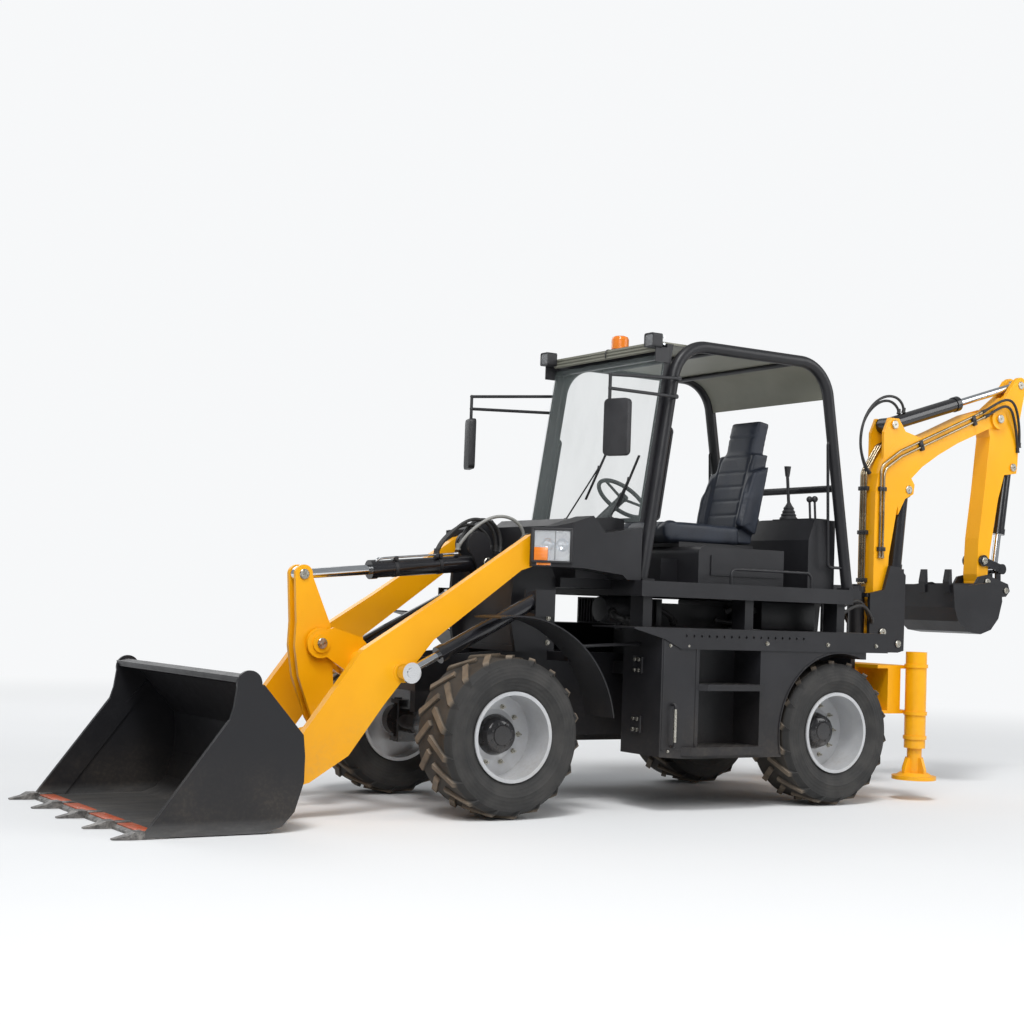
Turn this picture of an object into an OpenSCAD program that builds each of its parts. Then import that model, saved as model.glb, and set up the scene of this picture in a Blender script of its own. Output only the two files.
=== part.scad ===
// Backhoe loader: wheeled machine with a front loader bucket and a rear digging arm.
// Millimetres. X points forward, Y to the machine's left, Z up; the ground is z = 0.
// Pins and outlines are written as [x, z] from the ground point under the front axle.

/* [Placement] */
// Front axle, ahead of the middle of the overall length
front_axle_x = 1408; // [1200:1:1600]

/* [Wheels and axles] */
// Distance between the axles
wheelbase = 2510; // [2450:1:2560]
// Tyre radius over the lugs
tyre_r = 475; // [455:1:482]
// Tyre width
tyre_w = 382; // [340:1:386]
// Middle of each tyre, out from the machine's centre line
track_half = 668; // [666:1:690]
// Rim seat radius under the tyre
rim_r = 250; // [235:1:258]
// Rim wall thickness
rim_t = 9; // [6:1:12]
// Hub radius in the middle of each rim
hub_r = 118; // [105:1:125]
// Wheel spindle radius
spindle_r = 42; // [34:1:50]
// Height of the tread lugs
lug_h = 24; // [16:1:28]
// Lugs along each shoulder of a tyre
lug_count = 18; // [14:1:24]
// Rim disc, inward from the tyre's middle
rim_dish = 60; // [50:1:66]
// Kingpin, out from the centre line
kingpin_y = 540; // [530:1:548]
// Kingpin radius
kingpin_r = 26; // [20:1:32]
// Axle tube radius
axle_tube_r = 72; // [55:1:85]
// Differential housing radius
diff_r = 165; // [140:1:175]

/* [Loader] */
// Loader arm pivot on the tower, x and z
lift_pivot = [-380, 1580]; // [-4000:1:4000]
// Arm pin of the lift cylinder
lift_rod_pin = [533, 824]; // [-4000:1:4000]
// Tower pin of the lift cylinder
lift_base_pin = [-340, 1273]; // [-4000:1:4000]
// Bell crank pivot between the arms
crank_pin = [880, 970]; // [-4000:1:4000]
// Bell crank upper pin, for the tilt cylinder
crank_top_pin = [990, 1369]; // [-4000:1:4000]
// Bell crank lower pin, for the bucket link
crank_low_pin = [810, 472]; // [-4000:1:4000]
// Tower pin of the tilt cylinder
tilt_base_pin = [-250, 1490]; // [-4000:1:4000]
// Bucket pin at the tips of the arms
bucket_pin = [1270, 230]; // [-4000:1:4000]
// Bucket pin of the bucket link
bucket_link_pin = [1250, 370]; // [-4000:1:4000]
// Inner face of each arm plate, out from the centre line
arm_y = 405; // [400:1:410]
// Arm plate thickness
arm_t = 58; // [40:1:60]
// Cross tube radius between the arms
cross_tube_r = 75; // [60:1:85]
// Loader bucket width
bucket_w = 1820; // [1700:1:1860]
// Loader bucket plate thickness
bucket_t = 14; // [10:1:20]
// Height of the bucket floor's underside above the ground
bucket_low = 6; // [4:1:12]
// Number of loader bucket teeth
tooth_count = 5; // [3:1:7]

/* [Backhoe] */
// Swing post axis behind the front axle
swing_x = -3480; // [-3500:1:-3475]
// Swing pin radius in the frame's bracket
swing_pin_r = 34; // [28:1:40]
// Swing post tube radius
swing_tube_r = 58; // [50:1:60]
// Boom foot pin
boom_pin = [-3625, 1130]; // [-6000:1:4000]
// Boom pin of the boom cylinder
boom_cyl_pin = [-3905, 2190]; // [-6000:1:4000]
// Post pin of the boom cylinder
post_cyl_pin = [-3790, 1050]; // [-6000:1:4000]
// Boom pin of the dipper cylinder
dipper_cyl_pin = [-3740, 2660]; // [-6000:1:4000]
// Dipper pivot at the boom's nose
dipper_pin = [-4850, 2800]; // [-6000:1:4000]
// Dipper pin of the dipper cylinder
dipper_top_pin = [-5120, 3092]; // [-6000:1:4000]
// Dipper pin of the bucket cylinder
bucket_cyl_pin = [-5040, 2440]; // [-6000:1:4000]
// Rocker pivot on the dipper
rocker_pin = [-4720, 1700]; // [-6000:1:4000]
// Rocker pin of the bucket cylinder and link
rocker_end_pin = [-4928, 1644]; // [-6000:1:4000]
// Bucket pin at the end of the dipper
dig_pin = [-4725, 1535]; // [-6000:1:4000]
// Boom width across
boom_w = 176; // [160:1:190]
// Dipper width across
dipper_w = 136; // [120:1:140]
// Digging bucket width
dig_w = 600; // [450:1:680]
// Stabilizer leg, out from the centre line
leg_y = 700; // [680:1:720]
// Stabilizer outer tube radius
leg_tube_r = 72; // [60:1:80]
// Stabilizer inner leg radius
leg_r = 50; // [40:1:56]
// Height of the raised stabilizer pad above the ground
pad_z = 138; // [100:1:160]

/* [Cab] */
// Top of the platform floor
floor_z = 1412; // [1400:1:1420]
// Half width of the platform
floor_half_w = 740; // [720:1:760]
// Outer edge of the tread shelves and side boxes
side_y = 860; // [850:1:870]
// Canopy tube radius
canopy_r = 38; // [30:1:42]
// Canopy tubes, out from the centre line
canopy_y = 620; // [600:1:640]
// Height of the canopy tube's middle over the cab
roof_z = 2920; // [2850:1:2960]
// Windshield glass, ahead of the posts' middle
glass_lead = 82; // [70:1:95]
// Windshield glass thickness
glass_t = 8; // [5:1:10]

/* [Tow and tie-down eyes] */
// Front tow eye, ahead of the frame, x and z
front_eye = [372, 800]; // [-4000:1:4000]
// Rear tie-down eyes under the rear plate, x and z
rear_eye = [-3050, 505]; // [-4000:1:4000]
// Rear tie-down eyes, out from the centre line
rear_eye_y = 330; // [250:1:380]
// Bore radius of the tow and tie-down eyes
eye_bore_r = 20; // [16:1:26]
// Plate thickness of the tow and tie-down eyes
eye_plate_t = 30; // [20:1:40]

/* [Fits] */
// Radial clearance of a pin in its bore
fit = 0.06; // [0.02:0.01:0.10]
// Pin radius in the large joints
pin_r = 30; // [24:1:34]
// Side clearance of an eye between its fork plates
eye_gap = 3; // [2:0.5:5]
// Gap left between two parts that touch
face_gap = 0.3; // [0.1:0.1:0.5]

/* [Hidden] */
$fn = 48;
axle_z = tyre_r;
rear_x = -wheelbase;
// The body keeps its height over the tyres, and the tail its gap behind the rear tyres
drawn_tyre_r = 475;
rise = 2 * (tyre_r - drawn_tyre_r);
tail_face = -3070;
tyre_tail_gap = 85;
tail = min(0, rear_x - tyre_r - tyre_tail_gap - tail_face);
yellow = "#f0a818";
dark = "#2b2c30";
steel = "#b9bcc0";

// Angle from the x axis of the line from pin a to pin b, seen with x right and z up
function slope(a, b) = atan2(b[1] - a[1], b[0] - a[0]);
function span(a, b) = norm(b - a);
function unit(v) = v / norm(v);

module machine() translate([front_axle_x, 0, 0]) children();
module body() translate([front_axle_x, 0, rise]) children();
module tail_end() translate([front_axle_x + tail, 0, rise]) children();
module both() {
  children();
  mirror([0, 1, 0]) children();
}
// Box given by its low and high corner along each axis
module box(x, y, z) translate([x[0], y[0], z[0]]) cube([x[1] - x[0], y[1] - y[0], z[1] - z[0]]);
// Plate with a side-view outline, centred on y
module side_plate(outline, y, t) translate([0, y + t / 2, 0]) rotate([90, 0, 0])
  linear_extrude(t) polygon(outline);
// Cylinder across the machine, centred on y
module across(p, y, w, r) translate([p[0], y + w / 2, p[1]]) rotate([90, 0, 0])
  cylinder(r = r, h = w);
// Straight round bar between two points in space
module bar(a, b, r) {
  v = b - a;
  translate(a) rotate([0, acos(v[2] / norm(v)), atan2(v[1], v[0])]) cylinder(r = r, h = norm(v));
}
// Things drawn along +X from the origin, laid from pin a towards pin b at y
module laid(a, b, y) translate([a[0], y, a[1]]) rotate([0, -slope(a, b), 0]) children();

// Flat shape w by h with round corners
module rounded(w, h, r) {
  square([w - 2 * r, h], center = true);
  square([w, h - 2 * r], center = true);
  for (x = [-1, 1], y = [-1, 1]) translate([x * (w / 2 - r), y * (h / 2 - r)]) circle(r);
}

// Bent tube or sheet in side view: straight lengths and true bends through the corner points.
// A bend is a trace thicker than the lengths, which end a little way inside it.
bend_lap = 2;
bend_step = 0.2;
function turn_at(points, i) =
  let (a = points[i] - points[i - 1], b = points[i + 1] - points[i])
  (atan2(b[1], b[0]) - atan2(a[1], a[0]) + 540) % 360 - 180;
function trim_at(points, i, bend_r) =
  i == 0 || i == len(points) - 1 ? 0 : bend_r * tan(abs(turn_at(points, i)) / 2) - bend_lap;
function way_at(points, i) = unit(points[i + 1] - points[i]);
function start_at(points, i, bend_r) = points[i] + way_at(points, i) * trim_at(points, i, bend_r);
function end_at(points, i, bend_r) =
  points[i + 1] - way_at(points, i) * trim_at(points, i + 1, bend_r);
// Section drawn by the child, swept round the bend at corner i
module bend(points, i, bend_r) {
  turn = turn_at(points, i);
  way = way_at(points, i - 1);
  side = sign(turn) * [-way[1], way[0]];
  middle = points[i] - way * bend_r * tan(abs(turn) / 2) + side * bend_r;
  start = atan2(-side[1], -side[0]);
  translate([middle[0], 0, middle[1]]) rotate([90, 0, 0])
    rotate([0, 0, turn > 0 ? start : start + turn])
      rotate_extrude(angle = abs(turn)) translate([bend_r, 0]) children();
}
module bent_tube(points, y, bend_r, r) translate([0, y, 0]) {
  for (i = [0:len(points) - 2]) {
    a = start_at(points, i, bend_r);
    b = end_at(points, i, bend_r);
    bar([a[0], 0, a[1]], [b[0], 0, b[1]], r);
  }
  for (i = [1:len(points) - 2]) bend(points, i, bend_r) circle(r + bend_step);
}
module bent_sheet(points, half, bend_r, t) {
  for (i = [0:len(points) - 2]) {
    a = start_at(points, i, bend_r);
    b = end_at(points, i, bend_r);
    laid(a, b, 0) translate([0, -half, -t / 2]) cube([span(a, b), 2 * half, t]);
  }
  for (i = [1:len(points) - 2])
    bend(points, i, bend_r) square([t + 2 * bend_step, 2 * half], center = true);
}

// Hydraulic barrel along +X: base eye on its pin, tube, gland collar and the rod's bore
module barrel(length, r, rod_r, eye_w) {
  eye_r = r + 4;
  gland_l = 45;
  difference() {
    union() {
      across([0, 0], 0, eye_w, eye_r);
      translate([eye_r * 0.6, 0, 0]) rotate([0, 90, 0]) cylinder(r = r, h = length - eye_r * 0.6);
      translate([length - gland_l, 0, 0]) rotate([0, 90, 0]) cylinder(r = r + 6, h = gland_l);
    }
    across([0, 0], 0, eye_w + 2, pin_r + fit);
    translate([eye_r + 30, 0, 0]) rotate([0, 90, 0]) cylinder(r = rod_r + fit, h = length);
  }
}
// Hydraulic rod reaching back along -X from its eye at the origin
module cylinder_rod(length, r, eye_r, eye_w) {
  across([0, 0], 0, eye_w, eye_r);
  translate([-length, 0, 0]) rotate([0, 90, 0]) cylinder(r = r, h = length - eye_r * 0.5);
}

// Chassis
rail_y = 205;
rail_t = 24;
tower_y = [345, 375];
tilt_ear_y = 69;
tilt_ear_t = 24;
bracket_z = [965, 1420];
bracket_t = 40;
bracket_half_w = 88;
rail_top = 949.7;
module chassis_frame() color(dark) {
  inner = rail_y - rail_t / 2;
  body() {
    rail = [
      [310, 700], [310, 900], [-240, rail_top], [tail_face + 20 + tail, rail_top],
      [tail_face + 20 + tail, 560], [-2860 + tail, 560], [-2820 + tail, 670],
      [rear_x + 330, 670], [rear_x + 410, 430], [-760, 430], [-640, 660], [-330, 660], [-300, 700]
    ];
    both() side_plate(rail, rail_y, rail_t);
    for (x = [280, -360, -790, rear_x + 340, -2865 + tail])
      box([x, x + 30], [-inner, inner], [700, 880]);
    // Outriggers under the side boxes and platform
    for (x = [-1180, -1900]) both() box([x - 40, x + 40], [rail_y, 470], [820, 900]);
    tow_eye([305, front_eye[1]], front_eye, 0);
  }
  // Axle seats under the rails
  machine() for (x = [0, rear_x]) both()
    box([x - 95, x + 95], [rail_y - 50, rail_y + rail_t / 2], [axle_z + axle_tube_r, 700 + rise]);
  // Rear plate with its tie-down eyes
  tail_end() {
    box([tail_face, tail_face + 40], [-420, 420], [560, 1120]);
    for (y = [-rear_eye_y, rear_eye_y]) tow_eye([rear_eye[0], 580], rear_eye, y);
  }
}
// Tower of the loader: side plates, floor and the plate that carries the tilt cylinder
module loader_tower() color(dark) body() {
  both() {
    tower_mid = (tower_y[0] + tower_y[1]) / 2;
    side_plate([
      [-570, 950], [-570, 1400], [-480, 1590], [-290, 1600], [-262, 1480], [-240, 1180],
      [-290, 950]
    ], tower_mid, tower_y[1] - tower_y[0]);
    across([-386, 1583], tower_mid, tower_y[1] - tower_y[0], 94);
    // Fork outside the arm for the base of the lift cylinder
    box([-430, -290], [tower_y[1], 458], [1190, 1215]);
    side_plate([[-430, 1190], [-420, 1330], [-290, 1330], [-290, 1190]], 459, 14);
    box([-430, -290], [567, 581], [1190, 1330]);
    box([-430, -290], [452, 581], [1170, 1192]);
    across(lift_pivot, 420, 104, pin_r);
    across(lift_base_pin, lift_y, 130, pin_r);
    // Tall round-headed lugs of the tilt cylinder
    side_plate([[-340, 1400], [-262, 1600], [-108, 1600], [-190, 1440], [-220, 1420]],
      tilt_ear_y, tilt_ear_t);
    across([-185, 1602], tilt_ear_y, tilt_ear_t, 78);
  }
  box([-560, -300], [-tower_y[0], tower_y[0]], [950, 985]);
  box([-345, -315], [-tower_y[0], tower_y[0]], [985, 1560]);
  across(tilt_base_pin, 0, 2 * tilt_ear_y + tilt_ear_t + 8, pin_r);
}
// Bracket plates of the swing post, behind the rear plate
module swing_bracket() color(dark) tail_end() {
  root = tail_face - face_gap;
  for (z = bracket_z) difference() {
    union() {
      box([swing_x + 130, z > 1200 ? -3080 : root], [-bracket_half_w, bracket_half_w],
        [z, z + bracket_t]);
      translate([swing_x, 0, z]) cylinder(r = swing_tube_r + 4, h = bracket_t);
      box([swing_x, swing_x + 140], [-swing_tube_r + 4, swing_tube_r - 4], [z, z + bracket_t]);
    }
    translate([swing_x, 0, z - 1]) cylinder(r = swing_pin_r + fit, h = bracket_t + 2);
  }
  both() side_plate([[root, 1000], [root, 1440], [-3330, 1440], [-3330, 1422], [-3190, 1380],
    [-3150, 1000]], bracket_half_w - 14, 24);
}

// Round-ended eye plate reaching from a root point to its bore
module tow_eye(root, eye, y) difference() {
  union() {
    across(eye, y, eye_plate_t, eye_bore_r + 26);
    laid(root, eye, y) translate([0, -eye_plate_t / 2, -eye_bore_r - 26])
      cube([span(root, eye), eye_plate_t, 2 * eye_bore_r + 52]);
  }
  across(eye, y, eye_plate_t + 2, eye_bore_r);
}

module engine() color(dark) machine() {
  box([-2120, -1420], [-rail_y + 40, rail_y - 40], [620 + rise, 1280 + rise]);
  box([-1420, -1050], [-140, 140], [520 + rise, 860 + rise]);
  // Drop boxes and level shafts to the two differentials
  box([-1120, -1050], [-90, 90], [axle_z - 60, 530 + rise]);
  box([-2120, -2050], [-90, 90], [axle_z - 60, 630 + rise]);
  shaft_gap = diff_r + face_gap;
  translate([-1060, 0, axle_z]) rotate([0, 90, 0]) cylinder(r = 34, h = 1060 - shaft_gap);
  translate([rear_x + shaft_gap, 0, axle_z]) rotate([0, 90, 0])
    cylinder(r = 34, h = -2110 - rear_x - shaft_gap);
}

// Axle housing turned about its length: tube, bowl and tube
module axle_housing(half) rotate([90, 0, 0]) rotate_extrude() polygon([
  [0, -half], [axle_tube_r, -half], [axle_tube_r, -150], [diff_r * 0.86, -85],
  [diff_r, -40], [diff_r, 40], [diff_r * 0.86, 85], [axle_tube_r, 150],
  [axle_tube_r, half], [0, half]
]);
yoke_gap = 106;
yoke_t = 26;
disc_y = -rim_dish;
hub_back = 34;
hub_face_y = track_half + disc_y - hub_back;
hub_bore = 104;
boss_r = yoke_gap - 10;
// Cylinder along the wheel axis from y0 to y1
module shaft_y(y0, y1, r) translate([0, y0, 0]) rotate([-90, 0, 0]) cylinder(r = r, h = y1 - y0);
module front_axle() color(dark) machine() translate([0, 0, axle_z]) {
  reach = kingpin_y - 118;
  difference() {
    union() {
      axle_housing(reach);
      both() {
        box([-70, 70], [reach - 24, reach], [-yoke_gap - yoke_t, yoke_gap + yoke_t]);
        for (z = [-yoke_gap - yoke_t, yoke_gap]) {
          box([-46, 46], [reach - 10, kingpin_y], [z, z + yoke_t]);
          translate([0, kingpin_y, z]) cylinder(r = 46, h = yoke_t);
        }
      }
    }
    both() translate([0, kingpin_y, -200]) cylinder(r = kingpin_r + fit, h = 400);
  }
}
module knuckle() translate([0, kingpin_y, axle_z]) {
  cylinder(r = kingpin_r, h = 2 * (yoke_gap + yoke_t + 8), center = true);
  shaft_y(-34, hub_face_y - kingpin_y - 2, boss_r);
  shaft_y(0, hub_face_y - kingpin_y + hub_bore - 2, spindle_r);
}
module knuckle_left() color(dark) machine() knuckle();
module knuckle_right() color(dark) machine() mirror([0, 1, 0]) knuckle();
module rear_axle() color(dark) machine() translate([rear_x, 0, axle_z]) {
  axle_housing(kingpin_y + 10);
  both() {
    shaft_y(kingpin_y, hub_face_y - 2, boss_r);
    shaft_y(kingpin_y, hub_face_y + hub_bore - 2, spindle_r);
  }
}

// Tyre and rim, turned about y through the wheel's middle, with the outer side at +Y
module turned(outline) rotate([-90, 0, 0]) rotate_extrude() polygon(outline);
// Carcass with two rows of slanted bar lugs; a lug is drawn [along itself, outwards]
lug_slant = 38;
lug_t = 36;
module tyre() {
  h = tyre_w / 2;
  seat = rim_r + face_gap;
  r = tyre_r - lug_h;
  rotate([-90, 0, 0]) rotate_extrude($fn = 24) polygon([
    [seat, -h + 40], [r - 110, -h], [r - 30, -h + 8], [r, -h + 46],
    [r, h - 46], [r - 30, h - 8], [r - 110, h], [seat, h - 40]
  ]);
  // Half length of a lug, and the height of its ends that keeps them within the tyre's radius
  half_l = (h - 4) / cos(lug_slant) / 2;
  end_z = sqrt(pow(tyre_r, 2) - pow(half_l * sin(lug_slant) + lug_t / 2 * cos(lug_slant), 2));
  for (side = [0, 1], i = [0:lug_count - 1]) mirror([0, side, 0])
    rotate([0, (i + side / 2) * 360 / lug_count, 0]) translate([0, h / 2 + 2, 0])
      rotate([0, 0, -lug_slant]) translate([-lug_t / 2, 0, 0]) rotate([90, 0, 90])
        linear_extrude(lug_t) polygon([
          [-half_l, r - 12], [-half_l, end_z], [half_l - 55, end_z], [half_l - 16, r - 34]
        ]);
}
module rim() {
  h = tyre_w / 2;
  inner = rim_r - rim_t;
  difference() {
    union() {
      // Barrel of the rim with its two flanges
      turned([
        [inner, -h + 20], [rim_r + 12, -h + 20], [rim_r + 12, -h + 30], [rim_r, -h + 39],
        [rim_r, h - 39], [rim_r + 12, h - 30], [rim_r + 12, h - 20], [inner, h - 20]
      ]);
      // Dished disc and hub
      turned([
        [0, disc_y - hub_back], [boss_r, disc_y - hub_back], [boss_r, disc_y], [inner + 1, disc_y],
        [inner + 1, disc_y + 14], [hub_r + 30, disc_y + 14], [hub_r, disc_y + 26],
        [hub_r - 20, disc_y + 88], [hub_r - 40, disc_y + 100], [0, disc_y + 100]
      ]);
    }
    shaft_y(disc_y - hub_back - 1, disc_y - hub_back + hub_bore, spindle_r + fit);
  }
}
// Wheel places: x, side of the machine (1 is left)
wheel_places = [[0, 1], [0, -1], [-wheelbase, 1], [-wheelbase, -1]];
module at_wheel(i) machine()
  translate([wheel_places[i][0], wheel_places[i][1] * track_half, axle_z])
    mirror([0, wheel_places[i][1] > 0 ? 0 : 1, 0]) children();
module tyre_front_left() color("#3a3733") at_wheel(0) tyre();
module tyre_front_right() color("#3a3733") at_wheel(1) tyre();
module tyre_rear_left() color("#3a3733") at_wheel(2) tyre();
module tyre_rear_right() color("#3a3733") at_wheel(3) tyre();
module rim_front_left() color(steel) at_wheel(0) rim();
module rim_front_right() color(steel) at_wheel(1) rim();
module rim_rear_left() color(steel) at_wheel(2) rim();
module rim_rear_right() color(steel) at_wheel(3) rim();

// Side boxes with their steps and the arches over the rear wheels
box_front_x = -1035;
box_rear_x = -2740;
box_in_y = 470;
well_x = [-1824, -1330];
arch_r = tyre_r + 42;
shelf_z = [1118, 1128];
shelf_low = 1000;
shelf_edge_t = 8;
step_out = 45;
module side_boxes() color(dark) body() both() {
  box_top = shelf_z[0] - face_gap;
  difference() {
    side_plate([
      [box_front_x, 345], [box_front_x, box_top], [box_rear_x, box_top], [box_rear_x, 330],
      [-1250, 330]
    ], (box_in_y + side_y) / 2, side_y - box_in_y);
    across([rear_x, axle_z - rise], (box_in_y + side_y) / 2, 600, arch_r);
    box([box_rear_x - 10, -2625], [box_in_y - 10, side_y + 10], [300, 955]);
    // Step well, open outwards
    box(well_x, [610, side_y + 10], [402, 1000]);
  }
  // Steps, with their treads standing out past the box
  translate([0, 0, 748]) linear_extrude(38) polygon([
    [well_x[0] - 2, 609], [well_x[1] + 2, 609], [well_x[1] + 2, side_y],
    [well_x[1] - 35, side_y + step_out], [well_x[0] - 2, side_y + step_out]
  ]);
  translate([0, 0, 352]) linear_extrude(50) polygon([
    [well_x[0] - 2, 800], [-1200, 800], [-1200, side_y], [-1250, side_y + step_out],
    [well_x[0] - 2, side_y + step_out]
  ]);
  // Pull handle on the door
  translate([-1125, 0, 0]) rotate([0, 0, 90])
    bent_tube([[side_y - 5, 410], [side_y + 35, 410], [side_y + 35, 662], [side_y - 5, 662]],
      0, 16, 9);
  // Lip round the wheel arch
  difference() {
    translate([rear_x, side_y - 2, axle_z - rise]) rotate([-90, 0, 0])
      cylinder(r = arch_r + 7, h = 8);
    across([rear_x, axle_z - rise], side_y, 60, arch_r);
    box([rear_x - 700, rear_x + 700], [side_y - 10, side_y + 10], [-100, 345]);
    box([rear_x - 700, -2625], [side_y - 10, side_y + 10], [-100, 955]);
  }
}
pierce = 15;
pierce_count = 17;
pierce_pitch = 60;
module platform() color(dark) body() {
  rear = -2730;
  front = -960;
  // Floor plate, its rear part under the canopy's feet, and its edge beams
  box([rear, front], [-floor_half_w, floor_half_w], [floor_z - 14, floor_z]);
  box([rear - 120, rear + 10], [-floor_half_w + 50, floor_half_w - 50], [floor_z - 60, floor_z]);
  both() box([rear, front], [floor_half_w - 60, floor_half_w], [floor_z - 96, floor_z - 14]);
  for (x = [rear, front - 60]) box([x, x + 60], [-floor_half_w + 60, floor_half_w - 60],
    [floor_z - 96, floor_z - 14]);
  // Floor tongue reaching forward to the tower
  box([front, -572], [-420, 420], [floor_z - 60, floor_z]);
  both() {
    // Tread shelf with its pierced edge, and the uprights that carry the floor
    box([-2930, -815], [430, side_y + face_gap], [shelf_z[0], shelf_z[1]]);
    difference() {
      side_plate([
        [-815, shelf_z[1]], [-815, shelf_z[0]], [-1049, 1060], [-1180, shelf_low],
        [-2930, shelf_low], [-2930, shelf_z[1]]
      ], side_y + face_gap + shelf_edge_t / 2, shelf_edge_t);
      for (i = [0:pierce_count - 1])
        translate([-1215 - i * pierce_pitch, side_y, 1081]) rotate([0, 45, 0])
          cube([pierce, 40, pierce], center = true);
    }
    for (x = [-2700, -1900, -1080]) box([x, x + 70], [560, 690], [shelf_z[1], floor_z - 96 + 1]);
    // Low rail along the edge of the floor
    bent_tube([[-1731, floor_z - 5], [-1731, 1512], [-2420, 1512], [-2420, floor_z - 5]],
      660, 45, 9);
  }
}
fender_r = tyre_r + 215;
fender_lug_x = -540;
stay_x = -460;
module fenders() color(dark) machine() both() {
  translate([0, 575, axle_z]) rotate([90, 0, 0]) mirror([0, 0, 1]) rotate([0, 0, 79])
    rotate_extrude(angle = 92) translate([fender_r, 0]) square([8, 290]);
  lug_z = axle_z + sqrt(fender_r * fender_r - fender_lug_x * fender_lug_x);
  box([fender_lug_x - 20, fender_lug_x + 20], [tower_y[1], 600], [lug_z, lug_z + 55]);
  // Stay rod to the front of the side box
  stay_z = axle_z + sqrt(fender_r * fender_r - stay_x * stay_x) + 4;
  bar([stay_x, 640, stay_z], [box_front_x + 1, 640, 1022 + rise], 10);
}

// Cowl: two lamp housings outside the arms, joined behind the tower by the dash
cowl_front = -300;
dash_x = -1000;
dash_top = 1800;
lamp_corner = [cowl_front, 500];
lamp_face = [-178, 172];
lamp_z = [1505, 1690];
lamp_w = [14, 234];
lamp_depth = 32;
housing_side = lamp_corner[1] + lamp_face[1];
module on_lamp_face() translate([lamp_corner[0], lamp_corner[1], 0])
  rotate([0, 0, atan2(lamp_face[1], lamp_face[0])]) children();
module cowl() color(dark) body() {
  both() difference() {
    intersection() {
      translate([0, 0, floor_z + face_gap]) linear_extrude(500) polygon([
        [cowl_front, 480], lamp_corner, lamp_corner + lamp_face, [dash_x, housing_side],
        [dash_x, 480]
      ]);
      side_plate([
        [cowl_front + 10, 1470], [cowl_front + 10, 1706], [-400, 1716], [-629, 1790], [-723, 1690],
        [dash_x, 1735], [dash_x, floor_z + face_gap], [-894, floor_z + face_gap], [-860, 1440],
        [-561, 1470]
      ], 600, 400);
    }
    // Pocket of the headlamp, and the indicator's under it
    on_lamp_face() {
      box([lamp_w[0] - face_gap, lamp_w[1] + face_gap], [-5, lamp_depth],
        [lamp_z[0] - face_gap, lamp_z[1] + face_gap]);
      box([30 - face_gap, 120 + face_gap], [-5, lamp_depth - 5], [1476, 1506]);
    }
  }
  side_plate([
    [-640, floor_z + face_gap], [-640, 1740], [-700, 1786], [dash_x + 60, dash_top],
    [dash_x, dash_top - 8], [dash_x, floor_z + face_gap]
  ], 0, 962);
}
// Lamp bodies with two reflector bowls and a side light, and the indicator under each
module headlamps() color("white") body() both() on_lamp_face() {
  difference() {
    box(lamp_w, [3, lamp_depth - face_gap], lamp_z);
    for (x = [96, 184]) translate([x, 2, 1602]) rotate([-90, 0, 0])
      cylinder(r1 = 40, r2 = 24, h = 22);
    box([lamp_w[0] + 8, 52], [2, 10], [1516, 1570]);
  }
  box([30, 120], [1, lamp_depth - 6], [1478, lamp_z[0] + 2]);
}

// Canopy
front_foot = [-1044, floor_z + 8];
front_top = [-1277, roof_z];
rear_top = [-2531, roof_z];
rear_foot = [-2783, floor_z + 8];
function along(a, b, z) = a[0] + (z - a[1]) * (b[0] - a[0]) / (b[1] - a[1]);
function post_x(z) = along(front_foot, front_top, z);
function rear_post_x(z) = along(rear_foot, rear_top, z);
hoop = [front_foot, front_top, rear_top, rear_foot];
hoop_bend = 260;
glass_z = [1775, 2850];
glass_half = canopy_y - 8;
roof_t = 14;
roof_front = -1150;
module canopy_frame() color(dark) body() {
  both() {
    bent_tube(hoop, canopy_y, hoop_bend, canopy_r);
    for (x = [front_foot[0], rear_foot[0]])
      box([x - 56, x + 36], [canopy_y - 60, canopy_y + 60], [floor_z + face_gap, floor_z + 14]);
    // Strip between post and glass, reaching up to the header
    side_plate([
      [post_x(glass_z[0]) + 30, glass_z[0]], [strip_x(glass_z[0]), glass_z[0]],
      [strip_x(header_z[1]), header_z[1]], [post_x(header_z[1]) + 30, header_z[1]]
    ], glass_half - 12, 24);
    // Handrails inside the front and rear posts
    bent_tube([[post_x(2380), 2380], [post_x(2380) - 57, 2380], [post_x(1800) - 57, 1800],
      [post_x(1800), 1800]], canopy_y, 24, 10);
    bent_tube([[rear_post_x(2405), 2405], [-2575, 2405], [-2605, 1560],
      [rear_post_x(1560), 1560]], canopy_y, 28, 10);
  }
  // Cross tubes under the roof and behind the seat
  for (x = [-1580, -2240])
    across([x, roof_z - roof_t / 2 - face_gap - 16], 0, 2 * canopy_y, 16);
  across([rear_post_x(2095), 2095], 0, 2 * canopy_y, 24);
  // Header and sill of the windshield
  for (z = [header_z, [glass_z[0], glass_z[0] + 28]]) side_plate([
    [strip_x(z[0]) - 30, z[0]], [strip_x(z[0]), z[0]], [strip_x(z[1]), z[1]],
    [strip_x(z[1]) - 30, z[1]]
  ], 0, 2 * glass_half - 30);
}
header_z = [glass_z[1] - 30, roof_z - roof_t / 2 - face_gap];
glass_back = glass_t / 2 / cos(atan2(front_foot[0] - front_top[0], front_top[1] - front_foot[1]));
function strip_x(z) = post_x(z) + glass_lead - glass_back - face_gap;
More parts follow.
